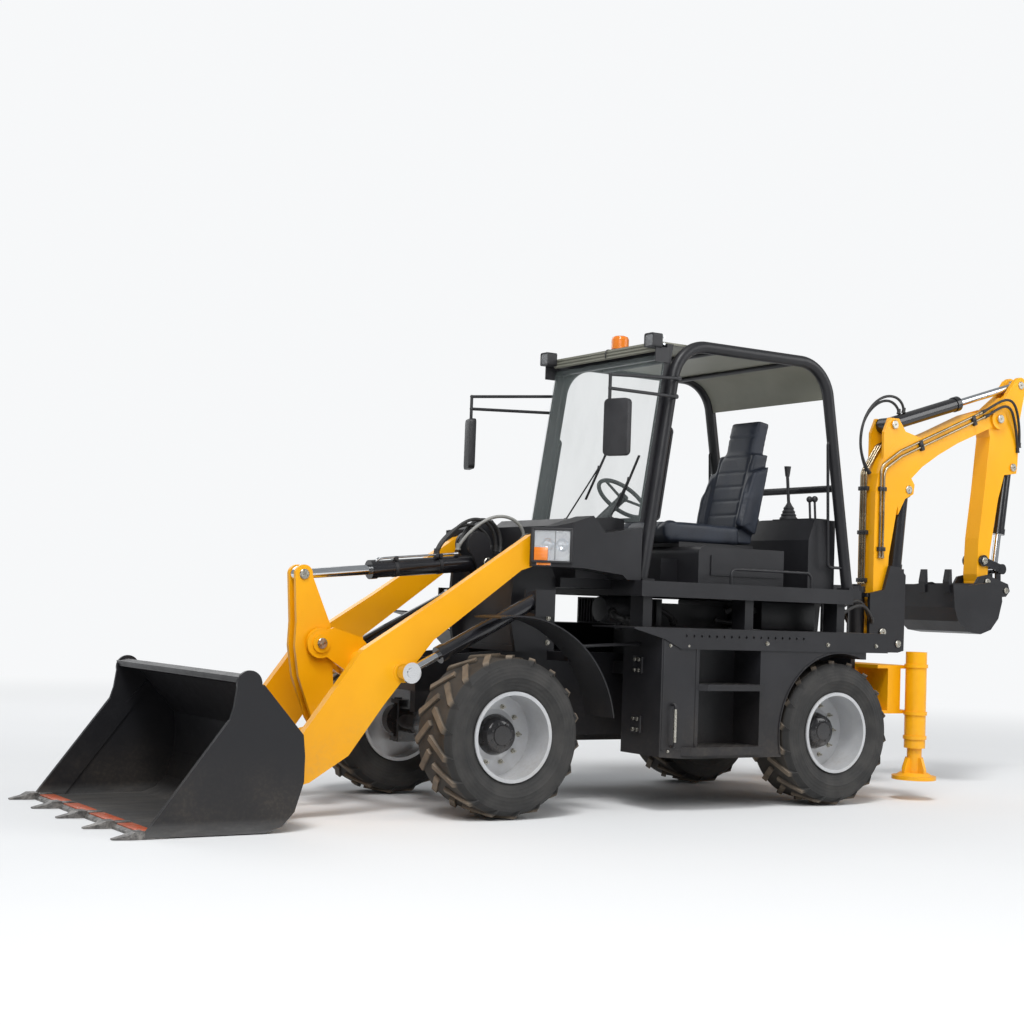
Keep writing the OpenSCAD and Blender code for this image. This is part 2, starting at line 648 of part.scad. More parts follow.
// Roof skin that follows the rear bends, with a ribbed lip over the windshield
module roof() color("#6a6d60") body() {
  half = canopy_y - canopy_r - face_gap - bend_step;
  bent_sheet([[roof_front, roof_z], rear_top, [rear_post_x(2690), 2690]], half, hoop_bend, roof_t);
  box([roof_front - 12, roof_front], [-half, half], [2866, roof_z]);
  for (z = [2872, 2892, 2912]) box([roof_front - 2, roof_front + 8], [-half + 8, half - 8],
    [z, z + 9]);
}
module windshield() color([0.6, 0.75, 0.8, 0.4]) body() {
  a = [post_x(glass_z[0]) + glass_lead, glass_z[0]];
  b = [post_x(glass_z[1]) + glass_lead, glass_z[1]];
  laid(a, b, 0) translate([0, -glass_half, -glass_t / 2])
    cube([span(a, b), 2 * glass_half, glass_t]);
}
// Door mirrors on their tube loops
module mirrors() color(dark) body() both() {
  loop = [-625, 800];
  for (z = [[2690, 2640], [2572, 2556]]) {
    x = post_x(z[0]);
    // Peg on the post, arm and corner
    across([x, z[0]], canopy_y + canopy_r + face_gap + 16, 32, 15);
    bar([x, canopy_y + canopy_r + 16, z[0]], [loop[0], loop[1], z[1]], 11);
    translate([loop[0], loop[1], z[1]]) sphere(r = 12, $fn = 20);
  }
  bar([loop[0], loop[1], 2300], [loop[0], loop[1], 2640], 10.5);
  translate([loop[0], 858, 2320]) rotate([0, 0, -20]) rotate([90, 0, 90]) difference() {
    translate([0, 0, -23]) linear_extrude(46) rounded(176, 345, 30);
    translate([0, 0, -24]) linear_extrude(7) rounded(152, 321, 22);
  }
}
// Work lamps on brackets at both ends of the header
module work_lamps() color(dark) body() both() {
  box([-1205, -1100], [glass_half + face_gap, glass_half + 9], [2790, 2885]);
  difference() {
    translate([-1140, 588, 2924]) rotate([90, 0, 90]) linear_extrude(75) rounded(95, 90, 14);
    translate([-1069, 588, 2924]) rotate([90, 0, 90]) linear_extrude(10) rounded(79, 74, 9);
  }
}
module beacon() color("orange") body()
  translate([-1275, 0, roof_z + roof_t / 2 + face_gap]) rotate_extrude() polygon([
    [0, 0], [66, 0], [66, 16], [58, 20], [58, 88], [50, 104], [36, 110], [0, 110]
  ]);

// Seat, consoles and controls
seat_box_x = [-2300, -1574];
seat_box_z = 1655;
seat_plate_z = 1690;
seat_box_r = 50;
// Seat box with a round upper front edge, and the shallower box before it
module seat_box() color(dark) body() {
  difference() {
    box(seat_box_x, [-520, 520], [floor_z + face_gap, seat_box_z]);
    box([seat_box_x[1] - seat_box_r, seat_box_x[1] + 1], [-521, 521],
      [seat_box_z - seat_box_r, seat_box_z + 1]);
  }
  across([seat_box_x[1] - seat_box_r, seat_box_z - seat_box_r], 0, 1040, seat_box_r);
  box([seat_box_x[1] - 10, -1440], [-300, 300], [floor_z + face_gap, 1570]);
  both() box([seat_box_x[0] + 60, seat_box_x[1] - 100], [510, 528], [1470, 1600]);
}
module seat_base() color(dark) body() {
  box([-2280, -1640], [-230, 230], [seat_box_z + face_gap, seat_plate_z]);
}
module seat_cushion() color("#26303c") body() side_plate([
  [-2150, seat_plate_z + face_gap], [-1540, seat_plate_z + face_gap], [-1500, 1720], [-1490, 1775],
  [-1530, 1812], [-1640, 1806], [-2150, 1796]
], 0, 510);
// Reclined back with side wings and a headrest
module seat_back() color("#26303c") body() {
  side_plate([[-2160, seat_plate_z + face_gap], [-2290, seat_plate_z + face_gap], [-2435, 2330],
    [-2310, 2330], [-2200, 1900]], 0, 400);
  both() side_plate([[-2140, 1820], [-2290, 1760], [-2400, 2240], [-2270, 2200], [-2190, 2020]],
    222, 64);
  side_plate([[-2320, 2320], [-2434, 2320], [-2478, 2560], [-2380, 2575], [-2350, 2480]], 0, 290);
}
wheel_mid = [-1330, 0, 1960];
wheel_r = 180;
module steering_wheel() color(dark) body() {
  box([dash_x - 20, dash_x - face_gap], [-70, 70], [1600, 1755]);
  bar([dash_x - 18, 0, 1690], wheel_mid, 28);
  translate(wheel_mid) rotate([0, -39, 0]) {
    rotate_extrude() translate([wheel_r, 0]) circle(14, $fn = 20);
    for (a = [0, 120, 240]) rotate([0, 0, a]) rotate([0, 90, 0]) cylinder(r = 9, h = wheel_r);
    cylinder(r = 34, h = 26);
  }
}
// Console across the rear of the floor, its front face leaning back
console_z = 1880;
console_x = [-2718, -2480];
module rear_console() color(dark) body() difference() {
  side_plate([
    [console_x[0], floor_z + face_gap], [console_x[0], console_z], [-2530, console_z],
    [console_x[1], 1740], [console_x[1], floor_z + face_gap]
  ], 0, 2 * 560);
  // Knee hollow on the rear side
  box([console_x[0] - 1, console_x[0] + 90], [-320, 320], [1500, 1780]);
}
// Two knobbed levers and a tall control stick in a bellows boot, on each side
module levers() color(dark) body() {
  both() {
    box([-2700, -2545], [120, 520], [console_z + face_gap, console_z + 10]);
    for (y = [440, 490]) {
      bar([-2600, y, console_z + 5], [-2590, y, 2010], 8);
      translate([-2590, y, 2022]) sphere(r = 22, $fn = 24);
    }
    translate([-2620, 200, console_z + 8]) rotate_extrude() polygon([
      [0, 0], [62, 0], [62, 14], [50, 26], [54, 36], [42, 48], [46, 58], [34, 72], [38, 82],
      [24, 100], [13, 120], [10, 125], [0, 125]
    ]);
    bar([-2620, 200, console_z + 100], [-2600, 200, 2200], 11);
    translate([-2600, 200, 2190]) cylinder(r1 = 15, r2 = 24, h = 70);
  }
}

// Stabilizer beam: box with flanges, and an outer tube at each end
stab_x = -3375;
stab_z = [583, 913];
stab_top = 1009;
stab_low = 352;
flange_t = 22;
module stabilizer_beam() color(yellow) tail_end() {
  end = leg_y - leg_tube_r + 10;
  box([-3290, -3170], [-end, end], [stab_z[0] + flange_t - 2, stab_z[1] - flange_t + 2]);
  for (z = [stab_z[0], stab_z[1] - flange_t])
    box([-3390, tail_face - face_gap], [-end, end], [z, z + flange_t]);
  both() for (y = [60, 330]) box([-3380, tail_face - face_gap], [y, y + 20],
    [stab_z[0] + flange_t - 2, stab_z[1] - flange_t + 2]);
  both() difference() {
    translate([stab_x, leg_y, 0]) {
      translate([0, 0, stab_low]) cylinder(r = leg_tube_r, h = stab_top - stab_low);
      for (z = [stab_low + 60, stab_z[0] - 6, stab_z[1] - 12])
        translate([0, 0, z]) cylinder(r = leg_tube_r + 8, h = 24);
    }
    translate([stab_x, leg_y, stab_low - 1]) cylinder(r = leg_r + fit, h = stab_top - stab_low - 11);
  }
}
// Leg with its lugs on a round pad; it slides in the outer tube
module leg() translate([stab_x, leg_y, pad_z - rise]) {
  translate([0, 0, 40]) cylinder(r = leg_r, h = 820 - pad_z + rise);
  cylinder(r = 150, h = 26);
  translate([0, 0, 25]) cylinder(r1 = 128, r2 = 96, h = 22);
  for (a = [0, 90, 180, 270]) rotate([0, 0, a]) translate([20, -12, 30])
    rotate([90, 0, 0]) mirror([0, 0, 1]) linear_extrude(24)
      polygon([[0, 0], [82, 0], [82, 40], [52, 118], [0, 118]]);
}
module leg_left() color(yellow) tail_end() leg();
module leg_right() color(yellow) tail_end() mirror([0, 1, 0]) leg();

// Loader
arm_mid = arm_y + arm_t / 2;
bracket_y = 82;
module loader_arm() color(yellow) body() difference() {
  union() {
    both() {
      side_plate([
        [-370, 1672], [-315, 1660], [281, 1268], [795, 948], [1116, 525], [1333, 262],
        [1330, 190], [1270, 160], [1101, 206], [864, 351], [652, 633], [338, 1011],
        [-258, 1445], [-400, 1490]
      ], arm_mid, arm_t);
      across(lift_pivot, arm_mid, arm_t, 95);
      across(bucket_pin, arm_mid, arm_t, 76);
      across(lift_rod_pin, arm_y + arm_t, 6, 62);
    }
    across([620, 860], 0, 2 * arm_y + 10, cross_tube_r);
    // Round-nosed bracket plates that carry the bell crank, boxed in behind it
    both() {
      side_plate([[560, 800], [540, 935], [620, 1010], [800, 1062], [930, 1020], [930, 920],
        [840, 890], [660, 780]], bracket_y, 24);
      across(crank_pin, bracket_y, 24, 88);
      across(crank_pin, bracket_y + 16, 12, 56);
    }
    box([600, 700], [-bracket_y, bracket_y], [990, 1010]);
    // Knees between the cross tube and the arm plates
    both() arm_knee();
  }
  both() {
    across(lift_pivot, arm_mid, arm_t + 2, pin_r + fit);
    across(bucket_pin, arm_mid, arm_t + 2, pin_r + fit);
  }
  across(crank_pin, 0, 2 * bracket_y + 60, pin_r + fit);
}
module arm_knee() translate([0, 0, 850]) linear_extrude(20)
  polygon([[560, arm_y + 2], [680, arm_y + 2], [660, arm_y - 110], [580, arm_y - 110]]);
crank_y = 44;
crank_t = 26;
link_pin_r = 25;
link_eye_w = 2 * crank_y - crank_t - 2 * eye_gap;
module bell_crank() color(yellow) body() {
  difference() {
    union() {
      for (y = [-crank_y, crank_y]) {
        side_plate([
          crank_top_pin + [56, 0], crank_top_pin + [-52, 0], crank_pin + [-72, 110],
          crank_pin + [-92, -70], crank_low_pin + [-46, 160], crank_low_pin + [-46, -10],
          crank_low_pin + [46, -10], crank_low_pin + [92, 60], crank_pin + [118, -200],
          crank_pin + [150, -20], crank_pin + [146, 120]
        ], y, crank_t);
        across(crank_top_pin, y, crank_t, 56);
        across(crank_low_pin, y, crank_t, 50);
      }
      across(crank_pin, 0, 2 * crank_y, 70);
      // Web between the plates
      laid(crank_pin + [70, 60], crank_pin + [90, 250], 0)
        translate([0, -crank_y, -8]) cube([190, 2 * crank_y, 16]);
    }
    across(crank_low_pin, 0, 200, link_pin_r + fit);
  }
  // Pivot pin through the bracket plates
  across(crank_pin, 0, 2 * bracket_y + 52, pin_r);
}
module loader_link() color(yellow) body() {
  across(crank_low_pin, 0, 2 * crank_y + crank_t + 8, link_pin_r);
  across(crank_low_pin, 0, link_eye_w, 50);
  across(bucket_link_pin, 0, link_eye_w, 40);
  laid(crank_low_pin, bucket_link_pin, 0) translate([0, -link_eye_w / 2 + 3, -28])
    cube([span(crank_low_pin, bucket_link_pin), link_eye_w - 6, 56]);
}
// Loader bucket outline: back, top lip, front edge and floor
bucket_outer = [
  [2212, bucket_low], [2212, bucket_low + 22], [1785, 590], [1765, 655], [1746, 793],
  [1690, 800], [1600, 770], [1365, 510], [1352, 400], [1352, 265], [1400, 110], [1470, 35],
  [1560, bucket_low]
];
module loader_bucket() color(dark) body() {
  t = bucket_t;
  half = bucket_w / 2;
  shell = [
    [2180, bucket_low], [2180, bucket_low + t], [1563, bucket_low + t], [1478, 48], [1412, 118],
    [1352 + t, 268], [1352 + t, 398], [1378, 504], [1608, 757], [1692, 786], [1735, 780],
    [1746, 793], [1690, 800], [1600, 770], [1365, 510], [1352, 400], [1352, 265], [1400, 110],
    [1470, 35], [1560, bucket_low]
  ];
  side_plate(shell, 0, bucket_w - 2);
  // Lip beam along the top edge
  side_plate([[1742, 782], [1752, 812], [1700, 826], [1640, 806], [1650, 770]], 0,
    bucket_w - 2);
  both() {
    difference() {
      union() {
        side_plate(bucket_outer, half - 10, 20);
        across([1684, 776], half - 10, 20, 70);
      }
      across([1600, 900], half - 10, 30, 60);
    }
    // Strip welded along the front edge, and the floor's corner strip
    side_plate([[2212, bucket_low], [2212, bucket_low + 22], [1785, 590], [1690, 560],
      [1560, 700], [1530, 680], [2050, bucket_low]], half - 24, 10);
    // Ears on the back for the arm with its pin, and for the link
    for (y = [arm_mid - 46, arm_mid + 46]) bucket_ear(y);
    across(bucket_pin, arm_mid, 124, pin_r);
    difference() {
      side_plate([[1358, 510], [1275, 420], [1212, 395], [1212, 345], [1275, 310], [1358, 300]],
        crank_y, crank_t);
      across(bucket_link_pin, crank_y, crank_t + 2, link_pin_r);
    }
  }
}
module bucket_ear(y) side_plate([[1354, 420], [1260, 310], [1195, 250], [1200, 180], [1260, 155],
  [1400, 100], [1440, 64], [1408, 112], [1358, 265], [1358, 420]], y, 24);
tooth_w = 84;
module cutting_edge() color("#3a3b3f") body() {
  half = bucket_w / 2;
  pitch = (bucket_w - tooth_w) / (tooth_count - 1);
  side_plate([[2090, bucket_low - 4], [2090, bucket_low - face_gap],
    [2213, bucket_low - face_gap], [2213, bucket_low + 20], [2232, bucket_low + 8],
    [2232, bucket_low - 4]], 0, bucket_w);
  // Forged teeth: a shank over the edge, drawn out to a narrow flat point
  for (i = [0:tooth_count - 1]) translate([0, -half + tooth_w / 2 + i * pitch, 0])
    intersection() {
      side_plate([[2213, bucket_low - 4], [2213, bucket_low + 34], [2262, bucket_low + 34],
        [2300, bucket_low + 16], [2372, bucket_low + 2], [2372, bucket_low - 4]], 0, tooth_w);
      translate([2200, 0, -10]) linear_extrude(80) polygon([
        [0, -tooth_w / 2], [66, -tooth_w / 2], [172, -16], [172, 16], [66, tooth_w / 2],
        [0, tooth_w / 2]
      ]);
    }
}
lift_y = 516;
module lift_barrels() color(dark) body() both()
  laid(lift_base_pin, lift_rod_pin, lift_y) barrel(760, 46, 25, 96);
module lift_rods() color(steel) body() both()
  laid(lift_rod_pin, lift_base_pin, lift_y) mirror([1, 0, 0]) {
    cylinder_rod(850, 25, 46, 86);
    across([0, 0], 46, 14, 60);
    across([0, 0], 54, 10, 30);
  };
module tilt_barrel() color(dark) body()
  laid(tilt_base_pin, crank_top_pin, 0) barrel(790, 52, 30, 2 * tilt_ear_y - tilt_ear_t - 2 * eye_gap);
module tilt_rod() color(steel) body()
  laid(crank_top_pin, tilt_base_pin, 0) mirror([1, 0, 0]) cylinder_rod(900, 30, 50, 56);

// Backhoe
post_y = 104;
post_t = 26;
module swing_post() color(dark) tail_end() {
  translate([swing_x, 0, bracket_z[0] - 15]) cylinder(r = swing_pin_r, h = bracket_z[1] - bracket_z[0] + 70);
  translate([swing_x, 0, bracket_z[0] + bracket_t + 0.5])
    cylinder(r = swing_tube_r, h = bracket_z[1] - bracket_z[0] - bracket_t - 1);
  for (z = [1012, 1382]) box([swing_x - 68, swing_x], [-post_y, post_y], [z, z + 30]);
  both() {
    side_plate([
      [swing_x - 20, 1012], [swing_x - 20, 1412], [-3640, 1440], [-3698, 1618], [-3790, 1610],
      [-3856, 1554], [-3850, 1000], [-3790, 985], [-3620, 985], [-3560, 1012]
    ], post_y, post_t);
    // Stubs on both sides of the boom cylinder's rod eye
    across(post_cyl_pin, (post_y + post_t / 2 + 64) / 2, post_y + post_t / 2 - 52, pin_r);
  }
  across(boom_pin, 0, 2 * post_y + 40, pin_r);
}
boom_body_w = boom_w - 16;
module boom() color(yellow) tail_end() {
  boom_body();
  across(boom_cyl_pin, 0, 2 * 80, pin_r);
  across(dipper_cyl_pin, 0, boom_body_w + 16, pin_r);
  across(dipper_pin, 0, boom_w + 44, pin_r);
}
module boom_body() difference() {
  union() {
    side_plate([
      [-3565, 1130], [-3562, 1820], [-3566, 2160], [-3590, 2290], [-3640, 2400], [-3720, 2490],
      [-3850, 2545], [-4023, 2585], [-4203, 2656], [-4572, 2815], [-4800, 2880],
      [-4900, 2830], [-4900, 2750], [-4800, 2735], [-4661, 2680], [-4412, 2577], [-4209, 2473],
      [-4040, 2370], [-3900, 2250], [-3825, 2130], [-3785, 2030], [-3715, 1688], [-3690, 1300],
      [-3690, 1130]
    ], 0, boom_body_w);
    across(boom_pin, 0, boom_body_w, 68);
    across(dipper_pin, 0, boom_w + 20, 78);
    // Lug plates of the dipper cylinder and boom cylinder
    both() {
      side_plate([[-3640, 2400], [-3640, 2600], [-3690, 2710], [-3790, 2710], [-3860, 2620],
        [-4023, 2585], [-3900, 2500]], 68, 23);
      side_plate([[-3800, 2000], [-3870, 2120], [-3955, 2160], [-3965, 2230], [-3920, 2290],
        [-3800, 2300]], 71, 17);
    }
  }
  across(boom_pin, 0, 300, pin_r + fit);
  // Fork at the nose for the dipper
  box([-5000, -4640], [-dipper_w / 2 - 4, dipper_w / 2 + 4], [2600, 3000]);
  // Room for the boom cylinder's base
  across(boom_cyl_pin, 0, 124, 90);
  box([-3860, -3640], [-56, 56], [2590, 2760]);
}
// Steel pipes clamped along the boom's front and left side
pipe_r = 9;
pipe_y = [-42, -18];
pipe_front = -3545;
module boom_pipes() color(steel) tail_end() {
  for (y = pipe_y)
    bent_tube([[pipe_front, 1480], [pipe_front, 2300], [-3690, 2512], [-3850, 2570]], y, 90, pipe_r);
  side = boom_body_w / 2 + face_gap + pipe_r + bend_step;
  bent_tube([[-3640, 1670], [-3640, 2320], [-3810, 2430], [-4690, 2803]], side, 110, pipe_r);
  bent_tube([[-3608, 1670], [-3608, 2345], [-3800, 2470], [-4660, 2834]], side, 110, pipe_r);
  // Clamps on the front face, low and high on the side
  for (z = [1490, 1840])
    box([-3562 + face_gap, pipe_front + pipe_r + 4], [-60, 0], [z, z + 34]);
  for (z = [1720, 2160])
    box([-3658, -3590], [side - pipe_r, side + pipe_r + 4], [z, z + 34]);
  for (x = [-4000, -4560]) {
    z = 2530 + (-4000 - x) * 0.423;
    laid([x, z], [x - 100, z + 42], side - pipe_r + 11)
      translate([0, -11, -42]) cube([34, 22, 80]);
  }
}
module boom_barrel() color(dark) tail_end()
  laid(boom_cyl_pin, post_cyl_pin, 0) barrel(600, 56, 32, 118);
module boom_rod() color(steel) tail_end()
  laid(post_cyl_pin, boom_cyl_pin, 0) mirror([1, 0, 0]) cylinder_rod(830, 32, 48, 90);
module dipper() color(yellow) tail_end() {
  dipper_body();
  across(bucket_cyl_pin, 0, dipper_w + 16, pin_r);
}
module dipper_body() difference() {
  union() {
    side_plate([
      [-5060, 3130], [-4960, 3000], [-4775, 2860], [-4745, 2780], [-4780, 2656], [-4731, 2241],
      [-4678, 1873], [-4664, 1595], [-4675, 1535], [-4775, 1535], [-4810, 1798], [-4886, 2186],
      [-4950, 2375], [-5085, 2395], [-5098, 2467], [-5110, 2799], [-5180, 3092]
    ], 0, dipper_w);
    across(dipper_top_pin, 0, dipper_w, 62);
    across(dig_pin, 0, dipper_w, 52);
  }
  across(dipper_pin, 0, 300, pin_r + fit);
  across(dig_pin, 0, 300, pin_r + fit);
  across(rocker_pin, 0, 300, pin_r + fit);
  // Slots for the dipper cylinder's eye and the bucket cylinder's base
  box([-5300, -4900], [-34, 34], [2980, 3300]);
  box([-5300, -4930], [-50, 50], [2300, 2520]);
}
module dipper_barrel() color(dark) tail_end()
  laid(dipper_cyl_pin, dipper_top_pin, 0) barrel(780, 52, 28, 106);
module dipper_rod() color(steel) tail_end()
  laid(dipper_top_pin, dipper_cyl_pin, 0) mirror([1, 0, 0]) cylinder_rod(780, 28, 46, 60);
module bucket_barrel() color(dark) tail_end()
  laid(bucket_cyl_pin, rocker_end_pin, 0) barrel(530, 46, 26, 94);
module bucket_rod() color(steel) tail_end()
  laid(rocker_end_pin, bucket_cyl_pin, 0) mirror([1, 0, 0]) cylinder_rod(500, 26, 36, 56);
rocker_t = 20;
rocker_y = dipper_w / 2 + eye_gap + rocker_t / 2;
rocker_end_r = 22;
dig_link_w = 100;
dig_link_slot = 33;
module rocker() color(dark) tail_end() {
  both() {
    laid(rocker_pin, rocker_end_pin, rocker_y) translate([0, -rocker_t / 2 + 2, -30])
      cube([span(rocker_pin, rocker_end_pin), rocker_t - 4, 60]);
    across(rocker_pin, rocker_y, rocker_t, 44);
    across(rocker_end_pin, rocker_y, rocker_t, 40);
    // Stubs on both sides of the bucket cylinder's rod eye
    stub = [dig_link_slot - 1, rocker_y + rocker_t / 2 + 1.5];
    across(rocker_end_pin, (stub[0] + stub[1]) / 2, stub[1] - stub[0], rocker_end_r);
  }
  across(rocker_pin, 0, 2 * rocker_y + rocker_t + 3, pin_r);
}
dig_link_pin = dig_pin + rocker_end_pin - rocker_pin;
module dig_link() color(dark) tail_end() difference() {
  union() {
    across(rocker_end_pin, 0, dig_link_w, 36);
    across(dig_link_pin, 0, dig_link_w, 36);
    laid(rocker_end_pin, dig_link_pin, 0) translate([0, -dig_link_w / 2 + 2, -26])
      cube([span(rocker_end_pin, dig_link_pin), dig_link_w - 4, 52]);
  }
  for (p = [rocker_end_pin, dig_link_pin]) across(p, 0, 200, rocker_end_r + fit);
  translate([rocker_end_pin[0] - 70, -dig_link_slot, dig_link_pin[1] + 42])
    cube([140, 2 * dig_link_slot, 240]);
}
dig_ear_y = rocker_y + rocker_t / 2 + 16;
module dig_bucket() color(dark) tail_end() {
  t = 12;
  outer = [
    [-4160, 1500], [-4178, 1330], [-4220, 1230], [-4320, 1155], [-4460, 1140], [-4570, 1175],
    [-4650, 1260], [-4690, 1390], [-4682, 1462], [-4640, 1508], [-4560, 1530], [-4330, 1500]
  ];
  shell = [
    [-4160, 1500], [-4178, 1330], [-4220, 1230], [-4320, 1155], [-4460, 1140], [-4570, 1175],
    [-4650, 1260], [-4690, 1390], [-4682, 1462], [-4640, 1508], [-4600, 1522], [-4597, 1510],
    [-4632, 1497], [-4670, 1456], [-4678, 1394], [-4640, 1268], [-4564, 1186], [-4460, 1152],
    [-4325, 1166], [-4230, 1237],
    [-4190, 1334], [-4172, 1500]
  ];
  side_plate(shell, 0, dig_w - 2);
  both() side_plate(outer, dig_w / 2 - 8, 16);
  // Ears for the dipper pin and the link pin
  both() side_plate([[-4600, 1520], [-4640, 1575], [-4725, 1592], [-4960, 1530], [-4982, 1476],
    [-4940, 1432], [-4800, 1420], [-4686, 1380], [-4672, 1456], [-4636, 1502]], dig_ear_y, 20);
  across(dig_pin, 0, 2 * dig_ear_y + 28, pin_r);
  across(dig_link_pin, 0, 2 * dig_ear_y + 28, rocker_end_r);
  // Teeth on the lip
  for (y = [-dig_w / 2 + 60, 0, dig_w / 2 - 60]) side_plate([[-4150, 1440], [-4142, 1520],
    [-4162, 1612], [-4172, 1612], [-4184, 1440]], y, 60);
}

chassis_frame();
loader_tower();
swing_bracket();
engine();
front_axle();
rear_axle();
side_boxes();
platform();
fenders();
cowl();
headlamps();
canopy_frame();
roof();
windshield();
mirrors();
work_lamps();
beacon();
seat_box();
seat_base();
seat_cushion();
seat_back();
steering_wheel();
rear_console();
levers();
stabilizer_beam();
knuckle_left();
knuckle_right();
tyre_front_left();
tyre_front_right();
tyre_rear_left();
tyre_rear_right();
rim_front_left();
rim_front_right();
rim_rear_left();
rim_rear_right();
loader_arm();
bell_crank();
loader_link();
loader_bucket();
cutting_edge();
lift_barrels();
lift_rods();
tilt_barrel();
tilt_rod();
swing_post();
boom();
boom_pipes();
boom_barrel();
boom_rod();
dipper();
dipper_barrel();
dipper_rod();
rocker();
dig_link();
dig_bucket();
bucket_barrel();
bucket_rod();
leg_left();
leg_right();
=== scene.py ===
# %% [markdown]
# # Backhoe loader: looks
# The construction model gives every rigid part at its real size. This notebook loads it as a
# fixed frame, gives each part a painted, rubber, steel or plastic finish made from noise and
# position, and adds what is too fine or too soft for the construction model: padded seat, lenses,
# wipers, pin ends, bolts and hoses.

import math

import bmesh
import bpy
from mathutils import Matrix, Vector


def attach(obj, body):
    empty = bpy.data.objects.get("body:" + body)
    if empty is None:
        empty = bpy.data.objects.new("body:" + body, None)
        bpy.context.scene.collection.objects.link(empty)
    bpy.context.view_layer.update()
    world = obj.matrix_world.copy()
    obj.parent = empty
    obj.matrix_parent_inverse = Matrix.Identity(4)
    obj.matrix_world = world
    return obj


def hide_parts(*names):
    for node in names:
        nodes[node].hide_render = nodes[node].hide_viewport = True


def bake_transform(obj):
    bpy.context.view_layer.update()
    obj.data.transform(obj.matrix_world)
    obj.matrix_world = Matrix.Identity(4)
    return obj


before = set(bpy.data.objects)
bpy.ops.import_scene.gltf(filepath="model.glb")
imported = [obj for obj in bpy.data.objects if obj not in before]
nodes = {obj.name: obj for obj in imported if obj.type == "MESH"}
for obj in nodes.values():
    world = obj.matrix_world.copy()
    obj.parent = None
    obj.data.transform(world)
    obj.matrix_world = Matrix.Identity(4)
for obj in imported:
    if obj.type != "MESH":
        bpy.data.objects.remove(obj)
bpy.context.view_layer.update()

# %% [markdown]
# The drawing of the machine measures everything from the ground point under the front axle, in
# millimetres. One helper turns such a place into a point of the scene, in metres, so the numbers
# below can be compared with the drawing.

# %% Places on the machine
AXLE_X = 1.408
WHEELBASE = 2.510
AXLE_Z = 0.475


def spot(x, y, z):
    """Point of the scene for a place in millimetres from under the front axle."""
    return Vector((AXLE_X + x / 1000, y / 1000, z / 1000))


print("front axle at", tuple(round(v, 3) for v in spot(0, 0, AXLE_Z * 1000)))

# %% [markdown]
# The camera stands where the photograph was taken from, ahead of the machine and on its left, at
# about head height. Its heading, pitch and roll came from fitting the wheels and straight edges.
# A camera looks along its own -Z, so its three axes are built as columns of a matrix.

# %% Camera
HEADING, PITCH, ROLL = (math.radians(a) for a in (-122.709, 3.157, 2.057))
CAMERA_AT = (6.718, 9.0, 1.231)
FOCAL_PIXELS, PICTURE_PIXELS = 1688.85, 1024
forward = Vector((math.cos(PITCH) * math.cos(HEADING), math.cos(PITCH) * math.sin(HEADING),
                  math.sin(PITCH)))
level_right = forward.cross(Vector((0, 0, 1))).normalized()
level_up = level_right.cross(forward)
right = level_right * math.cos(ROLL) + level_up * math.sin(ROLL)
up = level_up * math.cos(ROLL) - level_right * math.sin(ROLL)

camera_data = bpy.data.cameras.new("camera")
camera_data.sensor_width = 36
camera_data.lens = camera_data.sensor_width * FOCAL_PIXELS / PICTURE_PIXELS
camera = bpy.data.objects.new("camera", camera_data)
turn = Matrix((right, up, -forward)).transposed().to_4x4()
camera.matrix_world = Matrix.Translation(CAMERA_AT) @ turn
bpy.context.collection.objects.link(camera)
bpy.context.scene.camera = camera
print("lens", round(camera_data.lens, 2), "mm")

# %% [markdown]
# ## Shader maths
# A finish is a small sum of noises and positions. Wiring Math nodes by hand hides that sum, so
# `Value` wraps one socket and lets Python's operators add the nodes, and `Paint` is a material
# with one method that adds any other node.

# %% Value and Paint


class Value:
    """A socket of a material that takes part in Python sums."""

    def __init__(self, paint, socket):
        self.paint = paint
        self.socket = socket

    def math(self, operation, *others, swapped=False):
        terms = (*others, self) if swapped else (self, *others)
        return self.paint.node("ShaderNodeMath", {"operation": operation}, terms)

    def sine(self):
        return self.math("SINE")

    def __abs__(self):
        return self.math("ABSOLUTE")

    def __add__(self, other):
        return self.math("ADD", other)

    def __sub__(self, other):
        return self.math("SUBTRACT", other)

    def __rsub__(self, other):
        return self.math("SUBTRACT", other, swapped=True)

    def __mul__(self, other):
        return self.math("MULTIPLY", other)

    def __truediv__(self, other):
        return self.math("DIVIDE", other)

    def __pow__(self, other):
        return self.math("POWER", other)

    __radd__ = __add__
    __rmul__ = __mul__


